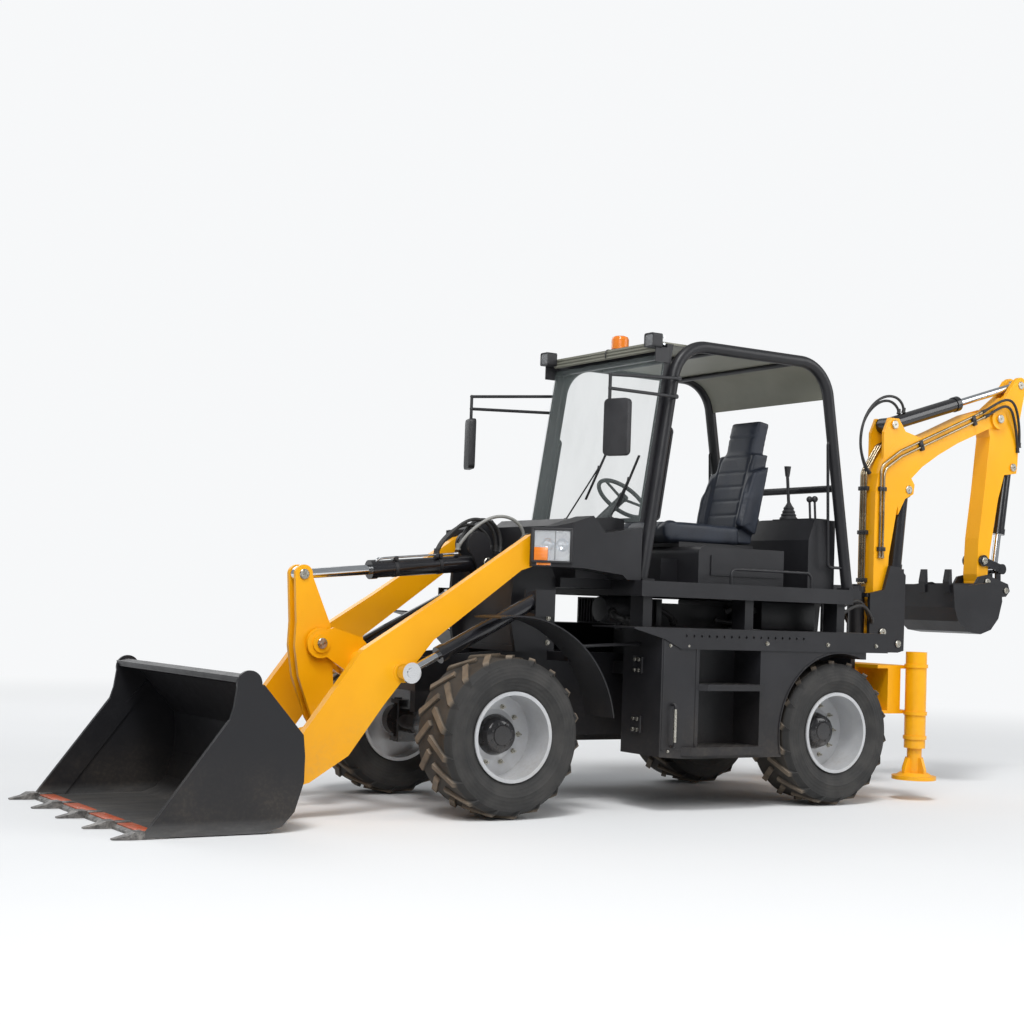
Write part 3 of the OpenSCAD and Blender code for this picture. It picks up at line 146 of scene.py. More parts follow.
class Paint:
    """A material around one Principled shader, whose patterns follow object coordinates."""

    def __init__(self, name, colour=(0.5, 0.5, 0.5), rough=0.5, metal=0.0, **constants):
        self.material = bpy.data.materials.new(name)
        self.material.use_nodes = True
        self.tree = self.material.node_tree
        self.shader = self.tree.nodes["Principled BSDF"]
        self.set(Base_Color=(*colour, 1), Roughness=rough, Metallic=metal, **constants)
        self.here = self.node("ShaderNodeTexCoord", out="Object")

    def node(self, kind, settings=None, values=(), out=0):
        made = self.tree.nodes.new(kind)
        for key, value in (settings or {}).items():
            setattr(made, key, value)
        pairs = values.items() if isinstance(values, dict) else enumerate(values)
        for key, value in pairs:
            self.feed(made.inputs[key], value)
        return Value(self, made.outputs[out])

    def feed(self, socket, value):
        if isinstance(value, Value):
            self.tree.links.new(value.socket, socket)
        else:
            socket.default_value = value

    def set(self, **inputs):
        for key, value in inputs.items():
            self.feed(self.shader.inputs[key.replace("_", " ")], value)
        return self

    def axis(self, letter):
        return self.node("ShaderNodeSeparateXYZ", values=[self.here], out="XYZ".index(letter))

    def facing_up(self):
        normal = self.node("ShaderNodeNewGeometry", out="Normal")
        return self.node("ShaderNodeSeparateXYZ", values=[normal], out=2)

    def noise(self, scale, detail=3.0, rough=0.55, stretch=(1, 1, 1)):
        where = self.node("ShaderNodeMapping", values={"Vector": self.here, "Scale": stretch})
        return self.node("ShaderNodeTexNoise", values={
            "Vector": where, "Scale": scale, "Detail": detail, "Roughness": rough})

    def patches(self, scale, detail=3.0, low=0.3, high=0.75):
        """Noise made into soft-edged patches between 0 and 1."""
        return self.ease(self.noise(scale, detail), low, high)

    def cells(self, scale):
        return self.node("ShaderNodeTexVoronoi", values={"Vector": self.here, "Scale": scale})

    def ease(self, value, low, high):
        """0 below low, 1 above high, with a soft step between."""
        return self.node("ShaderNodeMapRange", {"interpolation_type": "SMOOTHSTEP"}, {
            "Value": value, "From Min": low, "From Max": high})

    def blend(self, factor, first, second):
        colours = [c if isinstance(c, Value) else (*c, 1) for c in (first, second)]
        return self.node("ShaderNodeMix", {"data_type": "RGBA"},
                         {0: factor, 6: colours[0], 7: colours[1]}, out=2)

    def vary(self, mask, first, second, spread, rough):
        """Goes from one colour to another along a mask, and gets rougher by the spread."""
        return self.set(Base_Color=self.blend(mask, first, second),
                        Roughness=mask * spread + rough)

    def bump(self, height, distance, strength=0.6):
        return self.set(Normal=self.node("ShaderNodeBump", values={
            "Height": height, "Distance": distance, "Strength": strength}))


print("helpers ready")

# %% [markdown]
# ## Finishes
# Dust is what most paints on a working machine share: it is thicker near the ground and on faces
# that look up, and breaks up in patches. `dusted` mixes it over a paint's own colour and returns
# how much there is, so the roughness can follow.

# %% Dust
DUST = (0.30, 0.235, 0.165)


def dusted(paint, colour, reach=0.9, most=0.5):
    """Mixes dust over a colour, up to a height, and returns how much there is."""
    low = 1 - paint.ease(paint.axis("Z"), 0.05, reach)
    top = paint.ease(paint.facing_up(), 0.3, 1.0)
    patch = paint.patches(3.1, 5, 0.38, 0.72)
    speck = paint.patches(46, 2, 0.42, 0.7)
    amount = (low * 0.75 + top * 0.22) * (patch * 0.7 + 0.3) * (speck * 0.5 + 0.5) * most
    paint.set(Base_Color=paint.blend(amount, colour, DUST))
    return amount


# %% [markdown]
# The loader arm, the digging arm and the stabilizers are sprayed in a warm construction yellow.
# Such paint is glossy, slightly uneven (orange peel) and a little darker in patches.

# %% Yellow paint
yellow = Paint("yellow_paint", rough=0.32, Coat_Weight=0.12, Coat_Roughness=0.12,
               Specular_IOR_Level=0.3)
shade = yellow.blend(yellow.patches(1.7, 4), (0.88, 0.385, 0.003), (0.94, 0.435, 0.005))
grime = dusted(yellow, shade, reach=0.8, most=0.35)
yellow.set(Roughness=yellow.noise(9, 4) * 0.16 + grime * 0.4 + 0.24)
yellow.bump(yellow.noise(260, 2) * 0.5 + yellow.noise(14, 3), 0.0006, 0.35)

# %% [markdown]
# Chassis, fenders and canopy are painted dark charcoal, with a satin sheen. The same recipe serves
# them with less dust, since dust shows more on dark paint. Axles, cylinder barrels and links have a
# glossier black.

# %% Dark paint
dark = Paint("dark_paint", rough=0.45, Specular_IOR_Level=0.4)
shade = dark.blend(dark.patches(2.3, 4, high=0.8), (0.0105, 0.0105, 0.0125),
                   (0.0190, 0.0190, 0.0220))
grime = dusted(dark, shade, reach=0.95, most=0.24)
dark.set(Roughness=dark.noise(7, 4) * 0.2 + grime * 0.5 + 0.3)
dark.bump(dark.noise(420, 2) * 0.4 + dark.noise(18, 3), 0.0005, 0.4)

gloss_black = Paint("gloss_black", rough=0.2, Coat_Weight=0.4, Coat_Roughness=0.08)
shade = gloss_black.blend(gloss_black.patches(4, high=0.8), (0.007, 0.007, 0.009),
                          (0.014, 0.014, 0.018))
grime = dusted(gloss_black, shade, reach=0.7, most=0.45)
gloss_black.set(Roughness=grime * 0.6 + gloss_black.noise(11, 3) * 0.1 + 0.15)
gloss_black.bump(gloss_black.noise(60, 2), 0.0004, 0.3)

# %% [markdown]
# Treads are pressed with rows of short raised bars so that boots grip. Two sets of slanted bars on
# alternating cells of a grid give that pattern. Only faces that look up carry it, so one finish
# serves the whole platform and the side boxes.

# %% Tread plate
plate = Paint("tread_plate", rough=0.5, Specular_IOR_Level=0.4)
shade = plate.blend(plate.patches(2.6, 4, high=0.8), (0.0110, 0.0110, 0.0130),
                    (0.0200, 0.0200, 0.0230))
TREAD_STEP = 0.034
DIAGONAL = 0.707


def bars(paint, along, across, shift):
    """Rows of short rounded bars along the sum of two directions."""
    u = (paint.axis("X") * along + paint.axis("Y") * across) / TREAD_STEP + shift
    v = (paint.axis("X") * -across + paint.axis("Y") * along) / TREAD_STEP
    rows, breaks = ((part * math.tau).sine() for part in (u, v * 0.5 + shift))
    return paint.ease(rows * 0.35 + breaks, 0.72, 1.1)


grip = bars(plate, DIAGONAL, DIAGONAL, 0.0) + bars(plate, DIAGONAL, -DIAGONAL, 0.5)
grip = grip * plate.ease(plate.facing_up(), 0.6, 0.9)
worn = plate.blend(grip * 0.3, shade, (0.16, 0.155, 0.15))
grime = dusted(plate, worn, reach=0.9, most=0.24)
plate.set(Roughness=plate.noise(8, 4) * 0.2 + grime * 0.4 + 0.32)
plate.bump(grip + plate.noise(300, 2) * 0.1, 0.0025, 0.7)

# %% [markdown]
# A loader bucket is painted dark, but its floor and edge are scoured bright by what slides over
# them. Streaks run along the way the load moves, so their noise is stretched along X.

# %% Bucket steel
scoured = Paint("bucket_steel", rough=0.42, Specular_IOR_Level=0.4)
low = 1 - scoured.ease(scoured.axis("Z"), 0.03, 0.09)
streak = scoured.ease(scoured.noise(14, 8, 0.75, stretch=(0.15, 3, 1)), 0.30, 0.80)
bare = low * (streak * 0.6 + 0.25)
shade = scoured.blend(bare, (0.013, 0.013, 0.015), (0.135, 0.135, 0.135))
grime = dusted(scoured, shade, reach=0.5, most=0.16)
scoured.set(Roughness=scoured.noise(12, 5) * 0.25 + grime * 0.3 + 0.27, Metallic=bare * 0.35)
scoured.bump(scoured.noise(30, 6, 0.7, stretch=(1, 2, 1)), 0.0008, 0.4)

edge = Paint("worn_edge", rough=0.4)
rub = edge.ease(edge.noise(22, 6, 0.7), 0.35, 0.7)
edge.set(Base_Color=edge.blend(rub, (0.05, 0.048, 0.046), (0.34, 0.32, 0.30)),
         Metallic=rub * 0.8, Roughness=edge.noise(40, 4) * 0.3 + 0.28)
edge.bump(edge.noise(70, 5, 0.7), 0.0012, 0.6)

# %% [markdown]
# Tyre rubber is dark on the sidewall, with moulded rings, and dusty brown on the lugs. The
# distance from the wheel's middle tells the two apart. The axles mirror each other about a line
# between them, so one sum serves all four wheels.

# %% Tyre rubber
rubber = Paint("tyre_rubber", rough=0.75)
middle = AXLE_X - WHEELBASE / 2
from_axle = abs(rubber.axis("X") - middle) - WHEELBASE / 2
radius = (from_axle ** 2 + (rubber.axis("Z") - AXLE_Z) ** 2) ** 0.5
lug = rubber.ease(radius, 0.445, 0.468)
patch = rubber.patches(7, 5, high=0.7)
wall = 1 - rubber.ease(radius, 0.405, 0.440) * 0.55
shade = rubber.blend((patch * 0.6 + 0.1) * wall, (0.011, 0.011, 0.011), (0.056, 0.053, 0.050))
dirt = lug * (patch * 0.50 + 0.42)
rubber.set(Base_Color=rubber.blend(dirt, shade, (0.225, 0.175, 0.125)),
           Roughness=patch * 0.15 + 0.68)
RING_STEP = 0.021
ring = (radius * (math.tau / RING_STEP)).sine()
rubber.bump(ring * (1 - lug) * 0.35 + rubber.noise(120, 4) * 0.5, 0.0022, 0.5)

# %% [markdown]
# Rims are silver: a light metallic paint, with dust in the dish.

# %% Rim paint
silver = Paint("rim_paint", rough=0.35)
shade = silver.blend(silver.patches(5, 4), (0.50, 0.51, 0.53), (0.60, 0.61, 0.62))
grime = dusted(silver, shade, reach=1.4, most=0.42)
silver.set(Metallic=0.35 - grime * 0.3, Roughness=grime * 0.5 + silver.noise(20, 3) * 0.12 + 0.28)
silver.bump(silver.noise(180, 2), 0.0004, 0.3)

# %% [markdown]
# Rods are hard chrome, polished and faintly streaked along their length. Pins and fittings are
# zinc-plated steel, duller and warmer, and the boom's pipes have a yellow passivated zinc.

# %% Chrome and zinc
chrome = Paint("chrome", metal=1.0)
chrome.vary(chrome.noise(40, 3, stretch=(0.3, 4, 4)), (0.60, 0.61, 0.63), (0.80, 0.81, 0.82),
            0.12, 0.05)

zinc = Paint("zinc_plate", metal=1.0)
zinc.vary(zinc.patches(90, 3, 0.35, 0.65), (0.38, 0.36, 0.31), (0.58, 0.56, 0.50), 0.18, 0.24)
zinc.bump(zinc.noise(200, 3), 0.0003, 0.3)

yellow_zinc = Paint("yellow_zinc", metal=1.0)
yellow_zinc.vary(yellow_zinc.patches(8, 2, high=0.7), (0.30, 0.245, 0.165), (0.42, 0.35, 0.245),
                 0.08, 0.22)

# %% [markdown]
# Moulded black plastic has a fine pebble grain. The same cells, a little larger, stand for the
# moulded skin of hose rubber, and larger and softer for the leather-like cover of the seat.

# %% Plastic, hose rubber and seat cover
plastic = Paint("black_plastic")
plastic.vary(plastic.patches(6, high=0.8), (0.016, 0.016, 0.018), (0.030, 0.030, 0.033),
             0.15, 0.45)
plastic.bump(plastic.cells(420), 0.0006, 0.4)

hose_rubber = Paint("hose_rubber")
hose_rubber.vary(hose_rubber.noise(30), (0.012, 0.012, 0.013), (0.030, 0.029, 0.028), 0.2, 0.42)
hose_rubber.bump(hose_rubber.cells(240), 0.0005, 0.4)

light_hose = Paint("light_hose")
light_hose.vary(light_hose.noise(24), (0.20, 0.20, 0.19), (0.34, 0.34, 0.32), 0.2, 0.4)

cover = Paint("seat_cover")
cover.vary(cover.patches(5, 4), (0.012, 0.016, 0.026), (0.026, 0.033, 0.050), 0.16, 0.4)
cover.bump(cover.cells(300) + cover.noise(24, 3) * 0.8, 0.0011, 0.5)

# %% [markdown]
# The roof is an olive-grey moulding. Glass and lenses are thin, so they are a glossy shader with
# little opacity rather than a true refracting block, which also exports as it looks. Mirrors and
# lamp bowls are bright metal, and the wear segments of the bucket an orange-red paint.

# %% Roof, glass and lenses
roof_skin = Paint("roof_skin")
roof_skin.vary(roof_skin.patches(3, 4), (0.19, 0.19, 0.15), (0.24, 0.238, 0.195), 0.15, 0.5)
roof_skin.bump(roof_skin.noise(220, 3), 0.0006, 0.4)

glass = Paint("clear_glass", colour=(0.30, 0.35, 0.34), rough=0.05, IOR=1.45)
smear = glass.ease(glass.noise(3.5, 5, stretch=(1, 1, 0.4)), 0.35, 0.8)
glass.set(Alpha=smear * 0.05 + 0.12, Roughness=smear * 0.08 + 0.03)

lens = Paint("clear_lens", colour=(0.78, 0.80, 0.82), rough=0.08)
flute = (lens.axis("X") * (math.tau / 0.009)).sine()
lens.set(Alpha=flute * 0.04 + 0.24)
lens.bump(flute, 0.0006, 0.4)

mirror_glass = Paint("mirror_glass", rough=0.03, metal=1.0)
smear = mirror_glass.noise(9, 4)
mirror_glass.set(Base_Color=mirror_glass.blend(smear, (0.62, 0.66, 0.70), (0.78, 0.81, 0.84)))

reflector = Paint("lamp_reflector", metal=0.9)
reflector.vary(reflector.patches(14, 2, high=0.7), (0.72, 0.73, 0.75), (0.82, 0.83, 0.84),
               0.08, 0.14)

amber = Paint("amber_lens", rough=0.2, Coat_Weight=0.5)
flute = (amber.axis("Z") * (math.tau / 0.008)).sine()
amber.set(Base_Color=amber.blend(flute * 0.5 + 0.5, (0.78, 0.16, 0.004), (0.95, 0.28, 0.012)))
amber.bump(flute, 0.0012, 0.5)

red_paint = Paint("edge_segment_paint")
red_paint.vary(red_paint.patches(30, 5, 0.4, 0.7), (0.50, 0.075, 0.018), (0.30, 0.10, 0.05),
               0.3, 0.35)
print("finishes:", sorted(m.name for m in bpy.data.materials))

# %% [markdown]
# ## Dress the construction parts
# Each node of the frame takes one finish. The shapes are right as they are, so only the material
# in their slots changes.

# %% Assign finishes
finish_of = {}
for paint, names in [
    (yellow, "stabilizer_beam loader_arm bell_crank loader_link boom dipper leg_left leg_right"),
    (dark, "chassis_frame loader_tower swing_bracket engine fenders cowl canopy_frame seat_box "
           "rear_console swing_post dig_bucket"),
    (gloss_black, "front_axle rear_axle knuckle_left knuckle_right lift_barrels tilt_barrel "
                  "boom_barrel dipper_barrel bucket_barrel rocker dig_link"),
    (plate, "side_boxes platform"),
    (scoured, "loader_bucket"),
    (edge, "cutting_edge"),
    (chrome, "lift_rods tilt_rod boom_rod dipper_rod bucket_rod"),
    (yellow_zinc, "boom_pipes"),
    (silver, "rim_front_left rim_front_right rim_rear_left rim_rear_right"),
    (rubber, "tyre_front_left tyre_front_right tyre_rear_left tyre_rear_right"),
    (glass, "windshield"),
    (reflector, "headlamps"),
    (amber, "beacon"),
    (roof_skin, "roof"),
    (plastic, "mirrors work_lamps seat_base steering_wheel levers"),
    (cover, "seat_cushion seat_back"),
]:
    for name in names.split():
        finish_of[name] = paint
for name, paint in finish_of.items():
    mesh = nodes[name].data
    mesh.materials.clear()
    mesh.materials.append(paint.material)
print("dressed", len(finish_of), "nodes; left over:", sorted(set(nodes) - set(finish_of)))

# %% [markdown]
# ## Helpers for new pieces
# Every added piece starts as a bmesh, is shaped by operators, and becomes an object at the origin
# that rides on a body of the frame. Three shapes come up again and again: a softened block, a
# turned form, and a disc or bar between two points.

# %% Block, turned form and disc


def aim(direction):
    """Matrix that turns +Z to a direction."""
    return Vector(direction).to_track_quat("Z", "Y").to_matrix().to_4x4()


def soften(bm, verts, width, segments=2):
    edges = {e for v in verts for e in v.link_edges}
    sharp = [e for e in edges if e.is_manifold and e.calc_face_angle(0) > 0.5]
    bmesh.ops.bevel(bm, geom=sharp, offset=width, segments=segments, profile=0.5,
                    affect="EDGES", material=-1)


def block(bm, centre, size, turn=None, soft=0.0):
    place = Matrix.Translation(centre) @ (turn or Matrix()) @ Matrix.Diagonal((*size, 1))
    made = bmesh.ops.create_cube(bm, size=1, matrix=place)
    if soft:
        soften(bm, made["verts"], soft)


def disc(bm, base, direction, radius, height, sides=24, soft=0.0, top=None):
    """Disc, bar or cone that stands on a base point and reaches along a direction."""
    place = Matrix.Translation(base) @ aim(direction) @ Matrix.Translation((0, 0, height / 2))
    made = bmesh.ops.create_cone(bm, cap_ends=True, segments=sides, radius1=radius,
                                 radius2=radius if top is None else top, depth=height,
                                 matrix=place)
    if soft:
        soften(bm, made["verts"], soft, 1)


def turned(bm, base, direction, outline, steps=32):
    """Outline of (radius, height) pairs spun about a direction through a base point."""
    place = Matrix.Translation(base) @ aim(direction)
    row = [bm.verts.new(place @ Vector((r, 0, h))) for r, h in outline]
    line = [bm.edges.new(pair) for pair in zip(row, row[1:])]
    bmesh.ops.spin(bm, geom=row + line, cent=base, axis=place.to_3x3() @ Vector((0, 0, 1)),
                   angle=math.tau, steps=steps, use_merge=True)
    bmesh.ops.remove_doubles(bm, verts=bm.verts, dist=1e-5)


def finish_piece(bm, name, body, paint, smooth=35):
    """Turns a bmesh into an object with one finish; it rides on a body unless that is None."""
    bmesh.ops.recalc_face_normals(bm, faces=bm.faces)
    mesh = bpy.data.meshes.new(name)
    bm.to_mesh(mesh)
    bm.free()
    mesh.materials.append(paint.material)
    mesh.shade_smooth()
    mesh.set_sharp_from_angle(angle=math.radians(smooth))
    piece = bpy.data.objects.new(name, mesh)
    bpy.context.collection.objects.link(piece)
    if body:
        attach(piece, body)
    print(name, len(mesh.polygons), "faces on", body or "two bodies")
    return piece


# %% [markdown]
# Bolts are the most repeated small thing. One call makes a group of them as a single mesh: each is
# a washer and a hexagonal head, with chamfered edges only where they are large enough to see.

# %% Bolts


def bolts(bm, places, direction, size=0.012):
    for place in places:
        disc(bm, place, direction, size * 1.15, size * 0.22, sides=16)
        disc(bm, place + Vector(direction).normalized() * size * 0.2, direction, size * 0.92,
             size * 0.75, sides=6, soft=size * 0.08)


# %% [markdown]
# ## Wheels
# The hub of each wheel is a dark cover over the axle end. Around it a ring of wheel nuts clamps the
# silver disc to the hub, and a valve stands by the rim.

# %% Hub covers, wheel nuts and valves
TRACK = 0.668
DISH = -0.060
COVER_BOLT_CIRCLE = 0.070
NUT_CIRCLE = 0.168
VALVE_CIRCLE = 0.205
for label, along in [("front", AXLE_X), ("rear", AXLE_X - WHEELBASE)]:
    for side, way in [("left", 1), ("right", -1)]:
        body = f"wheel_{label}_{side}"
        out = Vector((0, way, 0))
        hub = Vector((along, way * TRACK, AXLE_Z))
        bm = bmesh.new()
        turned(bm, hub + out * DISH, out, [
            (0.121, 0.0145), (0.121, 0.028), (0.100, 0.089), (0.094, 0.094), (0.079, 0.103),
            (0.060, 0.105), (0.056, 0.111), (0.0, 0.112)], 40)
        for i in range(8):
            spin = Matrix.Rotation(math.tau * (i + 0.5) / 8, 4, out)
            place = hub + out * (DISH + 0.0995) + spin @ Vector((COVER_BOLT_CIRCLE, 0, 0))
            bolts(bm, [place], out, 0.0085)
        finish_piece(bm, f"hub_cover_{label}_{side}", body, gloss_black)
        bm = bmesh.new()
        for i in range(10):
            spin = Matrix.Rotation(math.tau * i / 10, 4, out)
            stud = hub + out * DISH + spin @ Vector((NUT_CIRCLE, 0, 0))
            bolts(bm, [stud + out * 0.014], out, 0.014)
            disc(bm, stud + out * 0.012, out, 0.006, 0.036, sides=12)
        disc(bm, hub + out * (DISH + 0.013) + Vector((0, 0, VALVE_CIRCLE)),
             out + Vector((0, 0, 0.4)), 0.006, 0.045, sides=12)
        finish_piece(bm, f"wheel_nuts_{label}_{side}", body, zinc)

# %% [markdown]
# ## Pins
# Every joint of the two arms turns on a large steel pin. Its end shows as a bright disc with a
# chamfer and a grease nipple. The pins sit on the body that holds them, and each body's ends are
# one piece, so that they move with it.

# %% Pin ends
BELL_PIN = (990, 1369)
TOWER_PIN = (-250, 1490)
pins = {
    # x and z of the pin, half width at the outer face, radius
    "bell_crank": [(*BELL_PIN, 57, 30), (880, 970, 108, 30)],
    "boom": [(-3905, 2190, 80, 30), (-3740, 2660, 88, 30), (-4850, 2800, 110, 32)],
    "chassis": [(*TOWER_PIN, 85, 30)],
    "dig_bucket": [(-4725, 1535, 121, 28), (-4933, 1479, 121, 22)],
    "dipper": [(-5120, 3092, 68, 30), (-5040, 2440, 76, 30)],
    "loader_bucket": [(1270, 230, 496, 30), (1250, 370, 57, 25)],
    "rocker": [(-4720, 1700, 92.5, 28)],
    "swing_post": [(-3625, 1130, 124, 30), (-3790, 1050, 117, 26)],
}
for body, rows in pins.items():
    bm = bmesh.new()
    for x, z, half, size in rows:
        rim = size / 1000 + 0.001
        for way in (1, -1):
            out = Vector((0, way, 0))
            end = spot(x, way * half, z)
            turned(bm, end - out * 0.002, out, [
                (rim, 0), (rim, 0.008), (rim - 0.004, 0.012), (0.008, 0.012), (0.007, 0.010),
                (0.0, 0.010)], 24)
            disc(bm, end + out * 0.008, out, 0.004, 0.010, sides=8)
    finish_piece(bm, f"pin_ends_{body}", body, zinc)

# %% [markdown]
# ## Lamps
# Each headlamp is a pair of bright bowls behind a fluted lens in the corner of the cowl, with an
# orange indicator beside and under it. Lens, indicators and bezel bars are softened slabs on the
# lamp's slanted face, so a helper gives points on that face.

# %% Headlamp lenses and indicators
LAMP_FROM = spot(-300, 500, 0)
LAMP_TO = spot(-478, 672, 0)
face_along = (LAMP_TO - LAMP_FROM).normalized()
face_out = Vector((0, 0, 1)).cross(face_along) * -1
print("lamp faces", tuple(round(v, 2) for v in face_out))


def on_lamp(along, out, height, way):
    place = LAMP_FROM + face_along * along + face_out * out + Vector((0, 0, height))
    return Vector((place.x, place.y * way, place.z))


def lamp_slab(bm, along, out, height, size, way, soft):
    angle = math.atan2(face_along.y, face_along.x) * way
    block(bm, on_lamp(along, out, height, way), size, Matrix.Rotation(angle, 4, "Z"), soft)


for name, paint, slot, rows in [
    # along the face, out of it, height, size, softening
    ("lamp_lenses", lens, "lamp_lens", [(0.124, 0.003, 1.5975, (0.216, 0.005, 0.181), 0.0015)]),
    ("indicators", amber, "amber_lens", [(0.075, 0.0015, 1.4905, (0.086, 0.007, 0.024), 0.002),
                                         (0.058, 0.007, 1.547, (0.084, 0.006, 0.078), 0.002)]),
    ("lamp_bezels", plastic, "black_plastic", [
        (0.124, 0.004, 1.697, (0.256, 0.018, 0.016), 0.004),
        (0.124, 0.004, 1.500, (0.256, 0.018, 0.014), 0.004),
        (0.005, 0.004, 1.5985, (0.018, 0.018, 0.210), 0.004),
        (0.243, 0.004, 1.5985, (0.018, 0.018, 0.210), 0.004),
        (0.142, 0.001, 1.5975, (0.005, 0.004, 0.176), 0.001)]),
]:
    bm = bmesh.new()
    for way in (1, -1):
        for along, out, height, size, soft in rows:
            lamp_slab(bm, along, out, height, size, way, soft)
    finish_piece(bm, name, "chassis", paint)

# %% [markdown]
# Each bowl of the headlamp takes a deep bright cone with a small bulb on its axis.

# %% Headlamp bowls and bulbs
bm = bmesh.new()
for way in (1, -1):
    outward = Vector((face_out.x, face_out.y * way, 0))
    for along in (0.096, 0.184):
        rim = on_lamp(along, -0.002, 1.602, way)
        turned(bm, rim, outward, [
            (0.041, 0.003), (0.038, 0.0), (0.030, -0.012), (0.020, -0.019), (0.0, -0.0205)], 32)
        disc(bm, rim - outward * 0.020, outward, 0.006, 0.012, sides=12, soft=0.002)
finish_piece(bm, "lamp_bowls", "chassis", mirror_glass)

# %% [markdown]
# Work lamps look forward from both ends of the header. Their solid bodies have a recess, which
# takes a clear pane and two shallow bowls behind it.

# %% Work lamp panes and bowls
WORK_LAMP_Y, WORK_LAMP_Z = 588, 2924
bm = bmesh.new()
for way in (1, -1):
    block(bm, spot(-1068.5, way * WORK_LAMP_Y, WORK_LAMP_Z), (0.003, 0.074, 0.070), soft=0.001)
finish_piece(bm, "work_lamp_panes", "chassis", lens)
bm = bmesh.new()
for way in (1, -1):
    for shift in (-17, 17):
        turned(bm, spot(-1072.5, way * WORK_LAMP_Y + shift, WORK_LAMP_Z), (1, 0, 0), [
            (0.0, 0.0005), (0.008, 0.0012), (0.014, 0.0026), (0.016, 0.0030)], 20)
    for lift in (22, -22):
        disc(bm, spot(-1150, way * 632, WORK_LAMP_Z + lift), (0, way, 0), 0.007, 0.008, sides=12)
finish_piece(bm, "work_lamp_bowls", "chassis", mirror_glass)

# %% [markdown]
# The beacon stands on the roof behind the header. A dark ring holds its amber dome.

# %% Beacon ring
bm = bmesh.new()
turned(bm, spot(-1275, 0, 2927.4), (0, 0, 1), [
    (0.066, 0.0), (0.0675, 0.002), (0.0675, 0.014), (0.063, 0.019), (0.059, 0.0205)], 40)
finish_piece(bm, "beacon_ring", "chassis", plastic)

# %% [markdown]
# ## Windshield wipers
# Two wipers park on the glass. The glass leans back, so `on_glass` gives a point for a height, a
# place across and a distance off the pane. Each arm is a flat bar from its spindle to the middle
# of a rubber blade.

# %% Wipers
GLASS_LEAN = 0.15533
GLASS_FOOT_Z = 1420
glass_turn = Matrix.Rotation(-math.atan(GLASS_LEAN), 4, "Y")
glass_out = glass_turn @ Vector((1, 0, 0))


def on_glass(y, z, out):
    return spot(-962 - (z - GLASS_FOOT_Z) * GLASS_LEAN + out, y, z)


def flat_bar(bm, start, end, width, thick, soft=0.0):
    """Bar of flat section between two points of the glass."""
    along = end - start
    side = along.normalized().cross(glass_out)
    turn = Matrix((glass_out, side, along.normalized())).transposed().to_4x4()
    block(bm, (start + end) / 2, (thick, width, along.length), turn, soft)


bm = bmesh.new()
for foot, tip, low_end, high_end in [
    ((-170, 1800), (110, 2140), (10, 1935), (205, 2330)),
    ((330, 1800), (455, 2050), (380, 1880), (520, 2200)),
]:
    disc(bm, on_glass(*foot, 1), glass_out, 0.014, 0.030, sides=20, soft=0.002)
    flat_bar(bm, on_glass(*foot, 24), on_glass(*tip, 20), 0.011, 0.006, 0.0015)
    flat_bar(bm, on_glass(*low_end, 15), on_glass(*high_end, 15), 0.007, 0.010, 0.0015)
    flat_bar(bm, on_glass(*low_end, 7), on_glass(*high_end, 7), 0.0035, 0.008)
    block(bm, on_glass(*tip, 18), (0.012, 0.020, 0.028), glass_turn, 0.002)
finish_piece(bm, "wipers", "chassis", plastic)

# %% [markdown]
# ## Mirrors
# Each mirror head hangs on a loop of thin tube from the front post, and is turned to face the
# driver. A moulded shell has rounded corners, an edge softened all round and a shallow hollow for
# the pane, so it is made here and stands in for the plainer construction piece.

# %% Mirror loops and shells
MIRROR = [spot(-653, 848 * way, 2320) for way in (1, -1)]
SWIVEL = [Matrix.Rotation(math.radians(20) * way, 4, "Z") for way in (1, -1)]
LOOP_X, LOOP_Y = -625, 800


def rounded_block(bm, centre, size, turn, corner, soft):
    """Block with four large rounded corners about its X axis, and a small bevel all round."""
    place = Matrix.Translation(centre) @ turn @ Matrix.Diagonal((*size, 1))
    made = bmesh.ops.create_cube(bm, size=1, matrix=place)
    through = turn @ Vector((1, 0, 0))
    edges = {e for v in made["verts"] for e in v.link_edges}
    long = [e for e in edges
            if abs((e.verts[0].co - e.verts[1].co).normalized().dot(through)) > 0.9]
    shaped = bmesh.ops.bevel(bm, geom=long, offset=corner, segments=6, profile=0.5,
                             affect="EDGES", material=-1)
    if soft:
        soften(bm, {v for f in shaped["faces"] for v in f.verts}, soft)
    return through


def tube_bar(bm, start, end, radius):
    disc(bm, start, end - start, radius, (end - start).length, sides=16)


bm = bmesh.new()
for way, centre, swivel in zip((1, -1), MIRROR, SWIVEL):
    for post_z, corner_z in ((2690, 2640), (2572, 2556)):
        post_x = -1044 - (post_z - GLASS_FOOT_Z) * GLASS_LEAN
        corner = spot(LOOP_X, LOOP_Y * way, corner_z)
        tube_bar(bm, spot(post_x, 657 * way, post_z), spot(post_x, 690 * way, post_z), 0.015)
        tube_bar(bm, spot(post_x, 680 * way, post_z), corner, 0.0105)
        bmesh.ops.create_uvsphere(bm, u_segments=16, v_segments=10, radius=0.0125,
                                  matrix=Matrix.Translation(corner))
    tube_bar(bm, spot(LOOP_X, LOOP_Y * way, 2300), spot(LOOP_X, LOOP_Y * way, 2640), 0.0105)
    before = set(bm.faces)
    through = rounded_block(bm, centre, (0.046, 0.176, 0.345), swivel, 0.030, 0.006)
    back_face = min(set(bm.faces) - before, key=lambda f: (f.calc_center_median() - centre).dot(
        through) - f.calc_area())
    bmesh.ops.inset_region(bm, faces=[back_face], thickness=0.010, depth=-0.006)
door_mirrors = finish_piece(bm, "door_mirrors", "chassis", plastic)
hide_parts("mirrors")

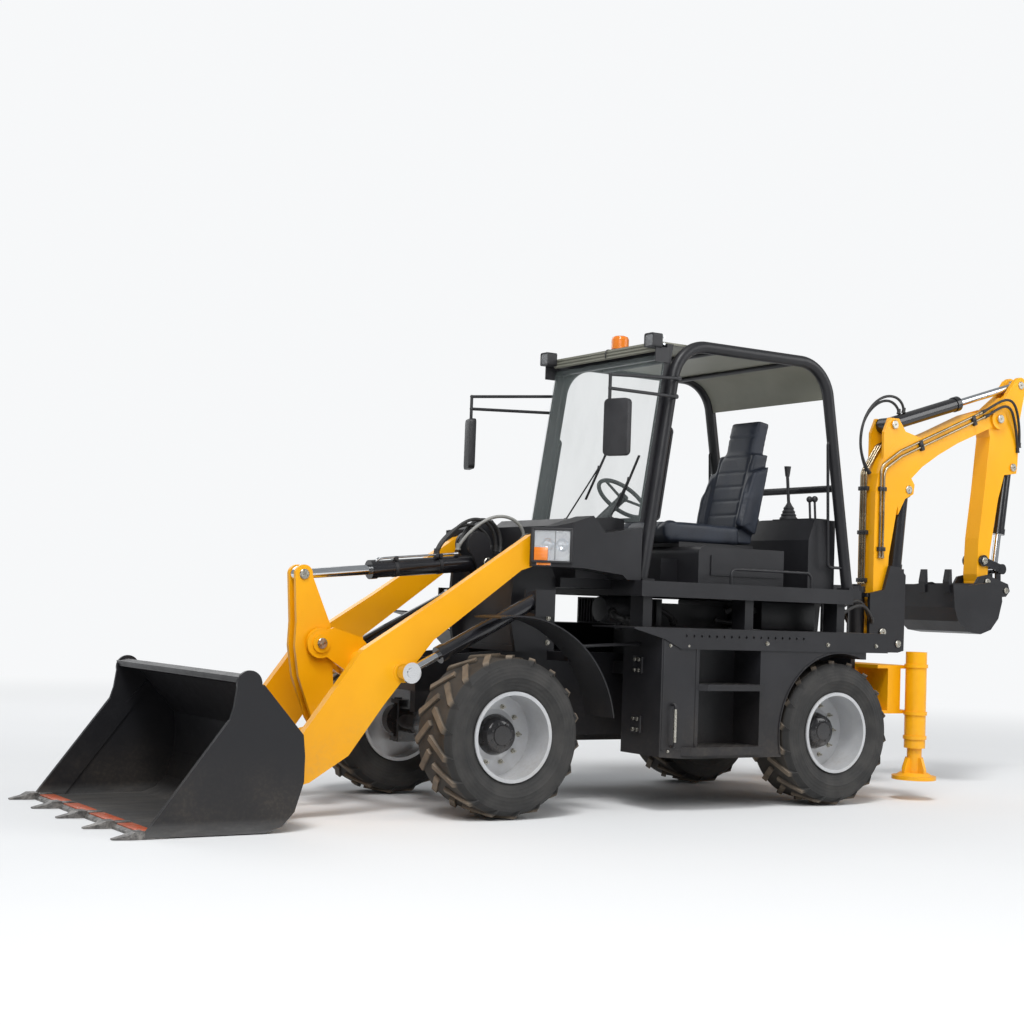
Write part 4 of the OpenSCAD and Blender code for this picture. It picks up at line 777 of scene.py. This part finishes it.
# %% Mirror panes
bm = bmesh.new()
for centre, swivel in zip(MIRROR, SWIVEL):
    pane = centre - swivel @ Vector((0.0185, 0, 0))
    rounded_block(bm, pane, (0.003, 0.142, 0.311), swivel, 0.020, 0)
finish_piece(bm, "mirror_panes", "chassis", mirror_glass)

# %% [markdown]
# ## Seat
# The seat is foam under a taut cover: it swells between its seams, so cloth inflated by pressure
# gives a truer form than a bevelled block. The construction solid is copied, merged, remeshed into
# even small faces and blown up slightly with gravity off, and no point may travel further than a
# few millimetres. The sewn channels are pressed in afterwards, because remeshing would erase them.

# %% Cushion maker
PAD_VOXEL = 0.008
PAD_LIMIT = 0.010
PAD_PRESSURE = 4
PAD_STEPS = 20


def inflate(name, node, paint, channels):
    """Padded copy of a node: remesh, cloth under pressure, then sewn channels."""
    mesh = nodes[node].data.copy()
    piece = bpy.data.objects.new(name, mesh)
    bpy.context.collection.objects.link(piece)
    bm = bmesh.new()
    bm.from_mesh(mesh)
    bmesh.ops.remove_doubles(bm, verts=bm.verts, dist=1e-5)
    bm.to_mesh(mesh)
    bm.free()
    remesh = piece.modifiers.new("remesh", "REMESH")
    remesh.mode = "VOXEL"
    remesh.voxel_size = PAD_VOXEL
    apply_modifiers(piece)
    ease_points(piece.data, 14)
    start = [v.co.copy() for v in piece.data.vertices]
    cloth = piece.modifiers.new("cloth", "CLOTH")
    cloth.settings.use_pressure = True
    cloth.settings.uniform_pressure_force = PAD_PRESSURE
    cloth.settings.effector_weights.gravity = 0
    scene = bpy.context.scene
    for step in range(1, PAD_STEPS + 1):
        scene.frame_set(step)
    apply_modifiers(piece)
    scene.frame_set(1)
    for vertex, before in zip(piece.data.vertices, start):
        move = vertex.co - before
        if move.length > PAD_LIMIT:
            vertex.co = before + move.normalized() * PAD_LIMIT
    channels(piece.data)
    smooth = piece.modifiers.new("smooth", "SUBSURF")
    smooth.levels = smooth.render_levels = 1
    apply_modifiers(piece)
    piece.data.materials.clear()
    piece.data.materials.append(paint.material)
    piece.data.shade_smooth()
    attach(piece, "chassis")
    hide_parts(node)
    print(name, len(piece.data.polygons), "faces")


def apply_modifiers(piece):
    """Makes what the modifiers show the piece's own mesh."""
    shown = piece.evaluated_get(bpy.context.evaluated_depsgraph_get())
    mesh = bpy.data.meshes.new_from_object(shown)
    piece.modifiers.clear()
    piece.data = mesh


def ease_points(mesh, rounds):
    """Rounds the corners that remeshing leaves."""
    bm = bmesh.new()
    bm.from_mesh(mesh)
    for _ in range(rounds):
        bmesh.ops.smooth_vert(bm, verts=bm.verts, factor=0.5, use_axis_x=True, use_axis_y=True,
                              use_axis_z=True)
    bm.to_mesh(mesh)
    bm.free()


def groove(distance, width):
    return math.exp(-(distance / width) ** 2)


# %% [markdown]
# The seams follow the real seat: cross channels in the middle panel of the cushion and the back,
# and a long seam on each side between the middle panel and the bolsters, which rise beside it.

# %% Seat cushion and back
CHANNEL_DEPTH = 0.007
SEAM_WIDTH, CROSS_WIDTH = 0.007, 0.008
CUSHION_PANEL, BACK_PANEL = 0.165, 0.150
BOLSTER_FROM, BOLSTER_RISE = 0.18, 0.010
CUSHION_CROSS = (-2010, -1890, -1770, -1650)
BACK_CROSS = (1.90, 2.00, 2.10, 2.20, 2.31, 2.45)


def cushion_channels(mesh):
    for v in mesh.vertices:
        if v.co.z < 1.75:
            continue
        across = abs(v.co.y)
        deep = groove(across - CUSHION_PANEL, SEAM_WIDTH)
        if across < CUSHION_PANEL:
            deep = max(deep, *(groove(v.co.x - AXLE_X - x / 1000, CROSS_WIDTH)
                               for x in CUSHION_CROSS))
        v.co.z -= CHANNEL_DEPTH * deep
        if across > BOLSTER_FROM:
            v.co.z += BOLSTER_RISE * min(1, (across - BOLSTER_FROM) / 0.03)


def back_channels(mesh):
    for v in mesh.vertices:
        across = abs(v.co.y)
        if v.normal.x < 0.2 or across > 0.20:
            continue
        deep = groove(across - BACK_PANEL, SEAM_WIDTH) if v.co.z < 2.31 else 0.0
        if across < BACK_PANEL:
            deep = max(deep, *(groove(v.co.z - z, CROSS_WIDTH) for z in BACK_CROSS))
        v.co.x -= CHANNEL_DEPTH * deep


inflate("seat_cushion_pad", "seat_cushion", cover, cushion_channels)
inflate("seat_back_pad", "seat_back", cover, back_channels)

# %% [markdown]
# ## Hoses
# Short hydraulic hoses bridge from the tower to the tilt cylinder's barrel, which rocks on its pin.
# They are fixed in place, on neither body. A hose is a smooth curve through a few given points with
# a round section, turned into a mesh, with a crimped sleeve and a nut at each end.

# %% Hose maker


def hose(name, body, points, radius, paint=hose_rubber, ends=True,
         kind="NURBS"):
    """Tube along points in millimetres; returns the piece."""
    curve = bpy.data.curves.new(name, "CURVE")
    curve.dimensions = "3D"
    curve.bevel_depth = radius
    curve.bevel_resolution = 4
    curve.use_fill_caps = True
    curve.resolution_u = 10
    line = curve.splines.new(kind)
    line.points.add(len(points) - 1)
    for point, place in zip(line.points, points):
        point.co = (*spot(*place), 1)
    if kind == "NURBS":
        line.order_u = 4
        line.use_endpoint_u = True
    holder = bpy.data.objects.new(name, curve)
    bpy.context.collection.objects.link(holder)
    shown = holder.evaluated_get(bpy.context.evaluated_depsgraph_get())
    bm = bmesh.new()
    bm.from_mesh(bpy.data.meshes.new_from_object(shown))
    bpy.data.objects.remove(holder)
    if ends:
        for near, next_one in ((points[0], points[1]), (points[-1], points[-2])):
            way = spot(*next_one) - spot(*near)
            disc(bm, spot(*near), way, radius * 1.35, radius * 4, sides=16, soft=radius * 0.2)
            disc(bm, spot(*near), way, radius * 1.7, radius * 1.1, sides=6, soft=radius * 0.15)
    return finish_piece(bm, name, body, paint)


def bent_hose(name, route, radius, held=1, paint=hose_rubber):
    """Hose on no body, fixed where it lies; the held point and the last but one are only looked up.
    """
    piece = hose(name, None, route, radius, paint)
    spot(*route[held])
    spot(*route[-2])
    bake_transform(piece)


# %% Tower and tilt cylinder hoses
for i, (paint, route) in enumerate(zip((hose_rubber, hose_rubber, light_hose, hose_rubber), [
    # on the barrel ... on the tower
    [(85, 34, 1520), (85, 34, 1570), (10, 40, 1650), (-110, 48, 1760), (-260, 50, 1765),
     (-335, 40, 1660), (-338, 36, 1560)],
    [(60, -30, 1522), (55, -30, 1580), (-40, -34, 1680), (-170, -44, 1740), (-300, -50, 1700),
     (-352, -40, 1620), (-338, -36, 1560)],
    [(-70, 20, 1560), (-70, 22, 1600), (-190, 70, 1750), (-340, 110, 1800), (-470, 130, 1740),
     (-500, 120, 1650), (-480, 110, 1560)],
    [(-96, -20, 1562), (-100, -30, 1610), (-200, -80, 1740), (-330, -110, 1780),
     (-450, -130, 1740), (-480, -120, 1640), (-460, -110, 1560)],
])):
    bent_hose(f"tilt_hose_{i + 1}", route, 0.0105, paint=paint)

# %% [markdown]
# More hoses run from those bulkheads down the inside of the tower to the valves under the floor.
# They are strapped along their way, so they belong to the chassis.

# %% Hoses down the tower
for i, (y, reach) in enumerate([
    (110, 0), (150, 30), (190, -10), (-110, 0), (-150, 30), (-190, -10),
]):
    hose(f"tower_hose_{i + 1}", "chassis", [
        (-480 + reach / 2, y, 1562), (-482 + reach / 2, y, 1480), (-440 + reach, y * 1.1, 1330),
        (-430 + reach, y * 1.2, 1180), (-470, y, 1060), (-460, y, 986)], 0.0105)

# %% [markdown]
# The valve block between the tower plates is what those bulkheads screw into: a machined block
# with a row of ports.

# %% Valve block
bm = bmesh.new()
block(bm, spot(-475, 0, 1535), (0.110, 0.440, 0.050), soft=0.004)
for y in (-190, -150, -110, 110, 150, 190):
    disc(bm, spot(-478, y, 1558), (0, 0, 1), 0.017, 0.010, sides=6, soft=0.001)
block(bm, spot(-540, 0, 1500), (0.016, 0.690, 0.120), soft=0.002)
finish_piece(bm, "valve_block", "chassis", zinc)

# %% [markdown]
# A steel pipe along the tilt cylinder takes oil from its rear port to the gland. Two straps round
# the barrel hold it in small clamps. `on_tilt` gives a place along, across and above the cylinder.

# %% Pipe on the tilt cylinder
pin_x, pin_z = TOWER_PIN
tilt_axis = (spot(BELL_PIN[0], 0, BELL_PIN[1]) - spot(pin_x, 0, pin_z)).normalized()
tilt_up = Vector((-tilt_axis.z, 0, tilt_axis.x))
tilt_turn = Matrix.Rotation(math.atan2(-tilt_axis.z, tilt_axis.x), 4, "Y")


def on_tilt(along, y, above):
    place = spot(pin_x, y, pin_z) + tilt_axis * along / 1000 + tilt_up * above / 1000
    return ((place.x - AXLE_X) * 1000, place.y * 1000, place.z * 1000)


hose("tilt_pipe", "tilt_barrel", [
    on_tilt(180, 30, 66), on_tilt(215, 32, 66), on_tilt(300, 34, 66), on_tilt(500, 34, 66),
    on_tilt(690, 34, 66), on_tilt(735, 30, 64), on_tilt(752, 20, 52)], 0.007, chrome)
bm = bmesh.new()
for along in (310, 620):
    centre = spot(pin_x, 0, pin_z) + tilt_axis * along / 1000
    turned(bm, centre - tilt_axis * 0.011, tilt_axis, [
        (0.0522, 0.0), (0.0548, 0.0), (0.0548, 0.022), (0.0522, 0.022), (0.0522, 0.0)], 40)
    block(bm, centre + tilt_up * 0.060 + Vector((0, 0.034, 0)), (0.022, 0.030, 0.026), tilt_turn,
          0.002)
for along, y in ((310, -22), (338, 40), (186, 22)):
    disc(bm, spot(*on_tilt(along, y, 48)), tilt_up, 0.016, 0.016, sides=6, soft=0.001)
finish_piece(bm, "tilt_pipe_straps", "tilt_barrel", plastic)

# %% [markdown]
# The digging arm gets its oil through four hoses that loop from the rear of the floor to the foot
# of the boom. The boom swings with its post; these hoses are fixed in place, on neither body.

# %% Hoses at the boom's foot
for i, (y, high) in enumerate([(-150, 0), (-118, 30), (118, 30), (150, 0)]):
    route = [(-3075, y, 1180), (-3110, y, 1190 + high), (-3230, y * 1.2, 1300 + high),
             (-3360, y * 1.25, 1330 + high), (-3450, y, 1290 + high), (-3505, y * 0.9, 1230),
             (-3520, y * 0.8, 1200)]
    bent_hose(f"swing_hose_{i + 1}", route, 0.011)

# %% [markdown]
# Steel pipes carry the oil up the boom. They are bent cold in a tube bender, so each corner is an
# arc between straight runs, and black clamps bolt them down in groups.

# %% Pipes on the boom


def rounded_route(points, bend):
    """Route whose corners are rounded as a tube bender leaves them."""
    route = [points[0]]
    for before, corner, after in zip(points, points[1:], points[2:]):
        corner = Vector(corner)
        back, on = (Vector(before) - corner).normalized(), (Vector(after) - corner).normalized()
        reach = bend / math.tan(back.angle(on) / 2)
        start, end = corner + back * reach, corner + on * reach
        for t in (i / 8 for i in range(9)):
            route.append(tuple(start * (1 - t) ** 2 + corner * 2 * t * (1 - t) + end * t ** 2))
    return route + [points[-1]]


front_line = [(-3545, 1480), (-3545, 2300), (-3690, 2512), (-3850, 2570)]
side_lines = [[(-3640, 1670), (-3640, 2320), (-3810, 2430), (-4690, 2803)],
              [(-3608, 1670), (-3608, 2345), (-3800, 2470), (-4660, 2834)]]
SIDE_RISE = 0.423
pipe_lines = [(front_line, y, 90) for y in (-46, -22, 2)]
pipe_lines += [(line, 89.5, 110) for line in side_lines]
for i, (line, y, bend) in enumerate(pipe_lines):
    route = rounded_route([(x, y, z) for x, z in line], bend)
    pipe = hose(f"boom_pipe_{i + 1}", "boom", route, 0.009, yellow_zinc,
                kind="POLY")
    if i == 0:
        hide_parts("boom_pipes")
bm = bmesh.new()
for z in (1507, 1857, 2180):
    block(bm, spot(-3547, -22, z), (0.028, 0.092, 0.030), soft=0.003)
    bolts(bm, [spot(-3533, -34, z), spot(-3533, -10, z)], (1, 0, 0), 0.006)
rise = Matrix.Rotation(math.atan(SIDE_RISE), 4, "Y")
for x, z, size, turn in [
    (-3624, 1737, (0.070, 0.026, 0.030), None), (-3624, 2177, (0.070, 0.026, 0.030), None),
    (-4015, 2526, (0.034, 0.026, 0.074), rise), (-4575, 2763, (0.034, 0.026, 0.074), rise),
]:
    block(bm, spot(x, 90, z), size, turn, 0.003)
    bolts(bm, [spot(x, 103, z)], (0, 1, 0), 0.007)
finish_piece(bm, "pipe_clamps", "boom", plastic)

# %% [markdown]
# From the pipes' ends, two hoses loop over the top of the boom to the dipper cylinder, and two
# more cross the boom's nose to the dipper. They are fixed in place, on neither body.

# %% Hoses to the dipper and its cylinder
for i, (y, lift) in enumerate([(-8, 0), (16, 34)]):
    route = [(-3566, y, 2290), (-3500 + lift, y, 2400), (-3470 + lift / 2, y, 2560 + lift),
             (-3540, y, 2740 + lift), (-3690, y, 2850 + lift), (-3820 - lift, y, 2850 + lift),
             (-3872 - lift, y * 0.8, 2790 + lift * 0.6),
             (-3868 - lift, y * 0.6, 2757 + lift * 0.3)]
    bent_hose(f"dipper_hose_{i + 1}", route, 0.010, held=3)
for i, route in enumerate([
    [(-4692, 90, 2804), (-4740, 96, 2824), (-4850, 122, 2910), (-4960, 120, 2900),
     (-5030, 96, 2780), (-5075, 84, 2640), (-5090, 74, 2560)],
    [(-4662, 90, 2836), (-4720, 92, 2862), (-4860, 128, 2965), (-4990, 124, 2950),
     (-5070, 96, 2820), (-5100, 84, 2700), (-5105, 74, 2600)],
]):
    bent_hose(f"nose_hose_{i + 1}", route, 0.010)

# %% [markdown]
# The beacon's lead leaves its ring, lies on the roof and goes down over the roof's front lip.

# %% Beacon lead
hose("beacon_lead", "chassis", [(-1212, 20, 2933), (-1185, 24, 2932), (-1155, 26, 2932),
                                (-1139, 28, 2922), (-1137, 28, 2895), (-1139, 28, 2874)], 0.0042,
     ends=False)

# %% [markdown]
# ## Bolts, hinges and trim
# The pierced edge of each shelf is held by three bolts, and the side boxes hang on two pairs of
# hinge bolts at their front. Their doors have a thin frame, two hinges and a handle with a zinc
# sleeve round it.

# %% Edge, hinge, box and tower bolts
bm = bmesh.new()
for way in (1, -1):
    for x in (-1868, -2387, -2818):
        bolts(bm, [spot(x, way * 868.3, 1046)], (0, way, 0), 0.012)
    for z in (925, 860, 560, 495):
        bolts(bm, [spot(-1034.8, way * 600, z), spot(-1034.8, way * 640, z)], (1, 0, 0), 0.015)
    for x, z in ((-1100, 1020), (-1100, 380), (-1240, 1020)):
        bolts(bm, [spot(x, way * 860, z)], (0, way, 0), 0.009)
    for z in (1010, 1060, 1160, 1240):
        bolts(bm, [spot(-520, way * 375, z)], (0, way, 0), 0.014)
finish_piece(bm, "chassis_bolts", "chassis", zinc)

# %% Hinges, door frames and handle sleeves of the side boxes
bm = bmesh.new()
for way in (1, -1):
    for z in (892, 528):
        block(bm, spot(-1033.4, way * 620, z), (0.004, 0.090, 0.110), soft=0.0012)
        disc(bm, spot(-1030, way * 672, z - 50), (0, 0, 1), 0.009, 0.100, sides=16)
    for x, z, length, tall in [
        (-1052, 735, 0.010, 0.700), (-1306, 735, 0.010, 0.700), (-1179, 1080, 0.264, 0.010),
        (-1179, 385, 0.264, 0.010)]:
        block(bm, spot(x, way * 860.4, z), (length, 0.004, tall), soft=0.001)
finish_piece(bm, "box_hinges", "chassis", dark)
bm = bmesh.new()
for way in (1, -1):
    tube_bar(bm, spot(-1125, way * 895, 436), spot(-1125, way * 895, 636), 0.0100)
finish_piece(bm, "handle_grips", "chassis", zinc)

# %% [markdown]
# The bucket's teeth are bolted through its floor. Between them, orange-red wear segments lie on
# the floor's edge.

# %% Bucket segments and tooth bolts
TOOTH_STEP = (1820 - 84) / 4
FIRST_TOOTH = -2 * TOOTH_STEP
bm = bmesh.new()
for i in range(4):
    y = FIRST_TOOTH + TOOTH_STEP * (i + 0.5)
    block(bm, spot(2166, y, 25.5), (0.086, 0.325, 0.011), soft=0.003)
finish_piece(bm, "wear_segments", "loader_bucket", red_paint)
bm = bmesh.new()
for i in range(5):
    y = FIRST_TOOTH + TOOTH_STEP * i
    for x in (2130, 2180):
        bolts(bm, [spot(x, y, 20)], (0, 0, 1), 0.014)
    block(bm, spot(2178, y, 27), (0.110, 0.060, 0.014), soft=0.004)
finish_piece(bm, "tooth_shanks", "loader_bucket", edge)

# %% [markdown]
# ## Under the floor
# Between the floor and the shelves the engine's auxiliaries show: an oil cooler with fins across
# the frame, an air cleaner in front of it, and the hydraulic tank behind the engine, with hoses.

# %% Cooler, air cleaner and tank
COOLER_Z = 1216
FINS, FIN_STEP = 26, 32.8
bm = bmesh.new()
block(bm, spot(-1330, 0, COOLER_Z), (0.044, 0.880, 0.176), soft=0.003)
for i in range(FINS):
    block(bm, spot(-1305, -410 + i * FIN_STEP, COOLER_Z), (0.012, 0.004, 0.150))
block(bm, spot(-2420, 0, 1222), (0.480, 0.900, 0.188), soft=0.012)
turned(bm, spot(-2300, 330, 1314), (0, 0, 1), [(0.040, 0), (0.040, 0.004), (0.030, 0.006)], 24)
finish_piece(bm, "cooler_and_tank", "chassis", dark)
bm = bmesh.new()
turned(bm, spot(-1300, 190, 1228), (1, 0, 0), [
    (0.0, 0.0), (0.080, 0.0), (0.086, 0.006), (0.086, 0.210), (0.090, 0.212), (0.090, 0.226),
    (0.084, 0.230), (0.080, 0.262), (0.030, 0.268), (0.0, 0.268)], 36)
disc(bm, spot(-1200, 190, 1150), (0, 0, -1), 0.030, 0.050, sides=16, top=0.022)
finish_piece(bm, "air_cleaner", "chassis", plastic)
for i, (start, mid, end, size) in enumerate([
    ((-1100, 230, 1228), (-1050, 350, 1180), (-1180, 400, 1140), 0.022),
    ((-1352, 330, 1270), (-1480, 360, 1200), (-1560, 300, 1150), 0.016),
    ((-2182, 380, 1250), (-2080, 400, 1290), (-1960, 330, 1240), 0.014),
    ((-2182, 300, 1180), (-2060, 380, 1160), (-1900, 300, 1180), 0.014),
]):
    hose(f"engine_hose_{i + 1}", "chassis", [start, mid, mid, end], size)

# %% [markdown]
# ## Driver's place
# Gauges sit in the dash behind the steering wheel, and rocker switches in the rear console.

# %% Gauges and switches
GAUGE_Z = 1700
bm = bmesh.new()
for y, size in ((-190, 0.038), (190, 0.038), (-290, 0.026), (290, 0.026)):
    turned(bm, spot(-1000.2, y, GAUGE_Z), (-1, 0, 0), [
        (size, 0.0), (size, 0.010), (size * 0.88, 0.012), (size * 0.84, 0.006), (0.0, 0.006)], 32)
    block(bm, spot(-1007, y, GAUGE_Z + size * 300), (0.002, 0.003, size * 0.8))
finish_piece(bm, "gauges", "chassis", mirror_glass)
bm = bmesh.new()
for i in range(6):
    block(bm, spot(-2600, -50 + i * 22, 1884), (0.030, 0.016, 0.010),
          Matrix.Rotation(0.15, 4, "Y"), 0.002)
block(bm, spot(-1003, 0, 1790), (0.004, 0.30, 0.010), soft=0.001)
finish_piece(bm, "switches", "chassis", plastic)

# %% [markdown]
# ## Finish
# The floor is a wide pale disc that keeps the machine's shadow. Far out it turns into the plain
# near-white that the world shows to the camera and through glass. To everything else the world
# is a weak, even light. Three large soft lamps and a soft-edged sun light the machine plainly.

# %% Floor
BACKDROP = (0.93, 0.94, 0.95, 1)
FADE_FROM, FADE_TO = 5.0, 15.0
bm = bmesh.new()
bmesh.ops.create_circle(bm, cap_ends=True, segments=96, radius=90)
mesh = bpy.data.meshes.new("floor")
bm.to_mesh(mesh)
bm.free()
floor_paint = Paint("pale_floor", rough=0.9)
drift = floor_paint.noise(0.5, 2)
floor_paint.set(Base_Color=floor_paint.blend(drift, (0.76, 0.765, 0.77), (0.79, 0.795, 0.80)))
away = (floor_paint.axis("X") ** 2 + floor_paint.axis("Y") ** 2) ** 0.5
far = floor_paint.ease(away, FADE_FROM, FADE_TO)
sky = floor_paint.node("ShaderNodeEmission", values={"Color": BACKDROP, "Strength": 1.0})
surface = floor_paint.node("ShaderNodeMixShader", values=[
    far, Value(floor_paint, floor_paint.shader.outputs[0]), sky])
floor_paint.feed(floor_paint.tree.nodes["Material Output"].inputs["Surface"], surface)
mesh.materials.append(floor_paint.material)
floor = bpy.data.objects.new("floor", mesh)
bpy.context.collection.objects.link(floor)

# %% World and lamps
world = bpy.data.worlds.new("studio")
bpy.context.scene.world = world
world.use_nodes = True
tree = world.node_tree
light_path = tree.nodes.new("ShaderNodeLightPath")
lit = tree.nodes["Background"]
lit.inputs["Color"].default_value = (0.92, 0.96, 1.0, 1)
lit.inputs["Strength"].default_value = 0.34
seen = tree.nodes.new("ShaderNodeBackground")
seen.inputs["Color"].default_value = BACKDROP
seen.inputs["Strength"].default_value = 1.0
either = tree.nodes.new("ShaderNodeMath")
either.operation = "MAXIMUM"
tree.links.new(light_path.outputs["Is Camera Ray"], either.inputs[0])
tree.links.new(light_path.outputs["Is Transmission Ray"], either.inputs[1])
choice = tree.nodes.new("ShaderNodeMixShader")
tree.links.new(either.outputs[0], choice.inputs[0])
tree.links.new(lit.outputs[0], choice.inputs[1])
tree.links.new(seen.outputs[0], choice.inputs[2])
tree.links.new(choice.outputs[0], tree.nodes["World Output"].inputs["Surface"])

for name, place, aim_at, size, power in [
    ("key", (6.0, 7.5, 8.0), (0, 0, 1.0), 6.0, 560),
    ("side", (-7.0, 7.0, 6.0), (-1, 0, 1.2), 6.0, 330),
    ("back", (1.0, -9.0, 7.0), (0, 0, 1.2), 7.0, 240),
]:
    data = bpy.data.lights.new(name, "AREA")
    data.size = size
    data.energy = power
    lamp = bpy.data.objects.new(name, data)
    lamp.location = place
    direction = Vector(aim_at) - Vector(place)
    lamp.rotation_euler = direction.to_track_quat("-Z", "Y").to_euler()
    bpy.context.collection.objects.link(lamp)
sun_data = bpy.data.lights.new("sun", "SUN")
sun_data.energy = 1.5
sun_data.angle = 0.25
sun = bpy.data.objects.new("sun", sun_data)
sun.rotation_euler = Vector((-0.35, -0.45, -1.0)).to_track_quat("-Z", "Y").to_euler()
bpy.context.collection.objects.link(sun)
bpy.context.scene.view_settings.view_transform = "Standard"
print("lamps set")
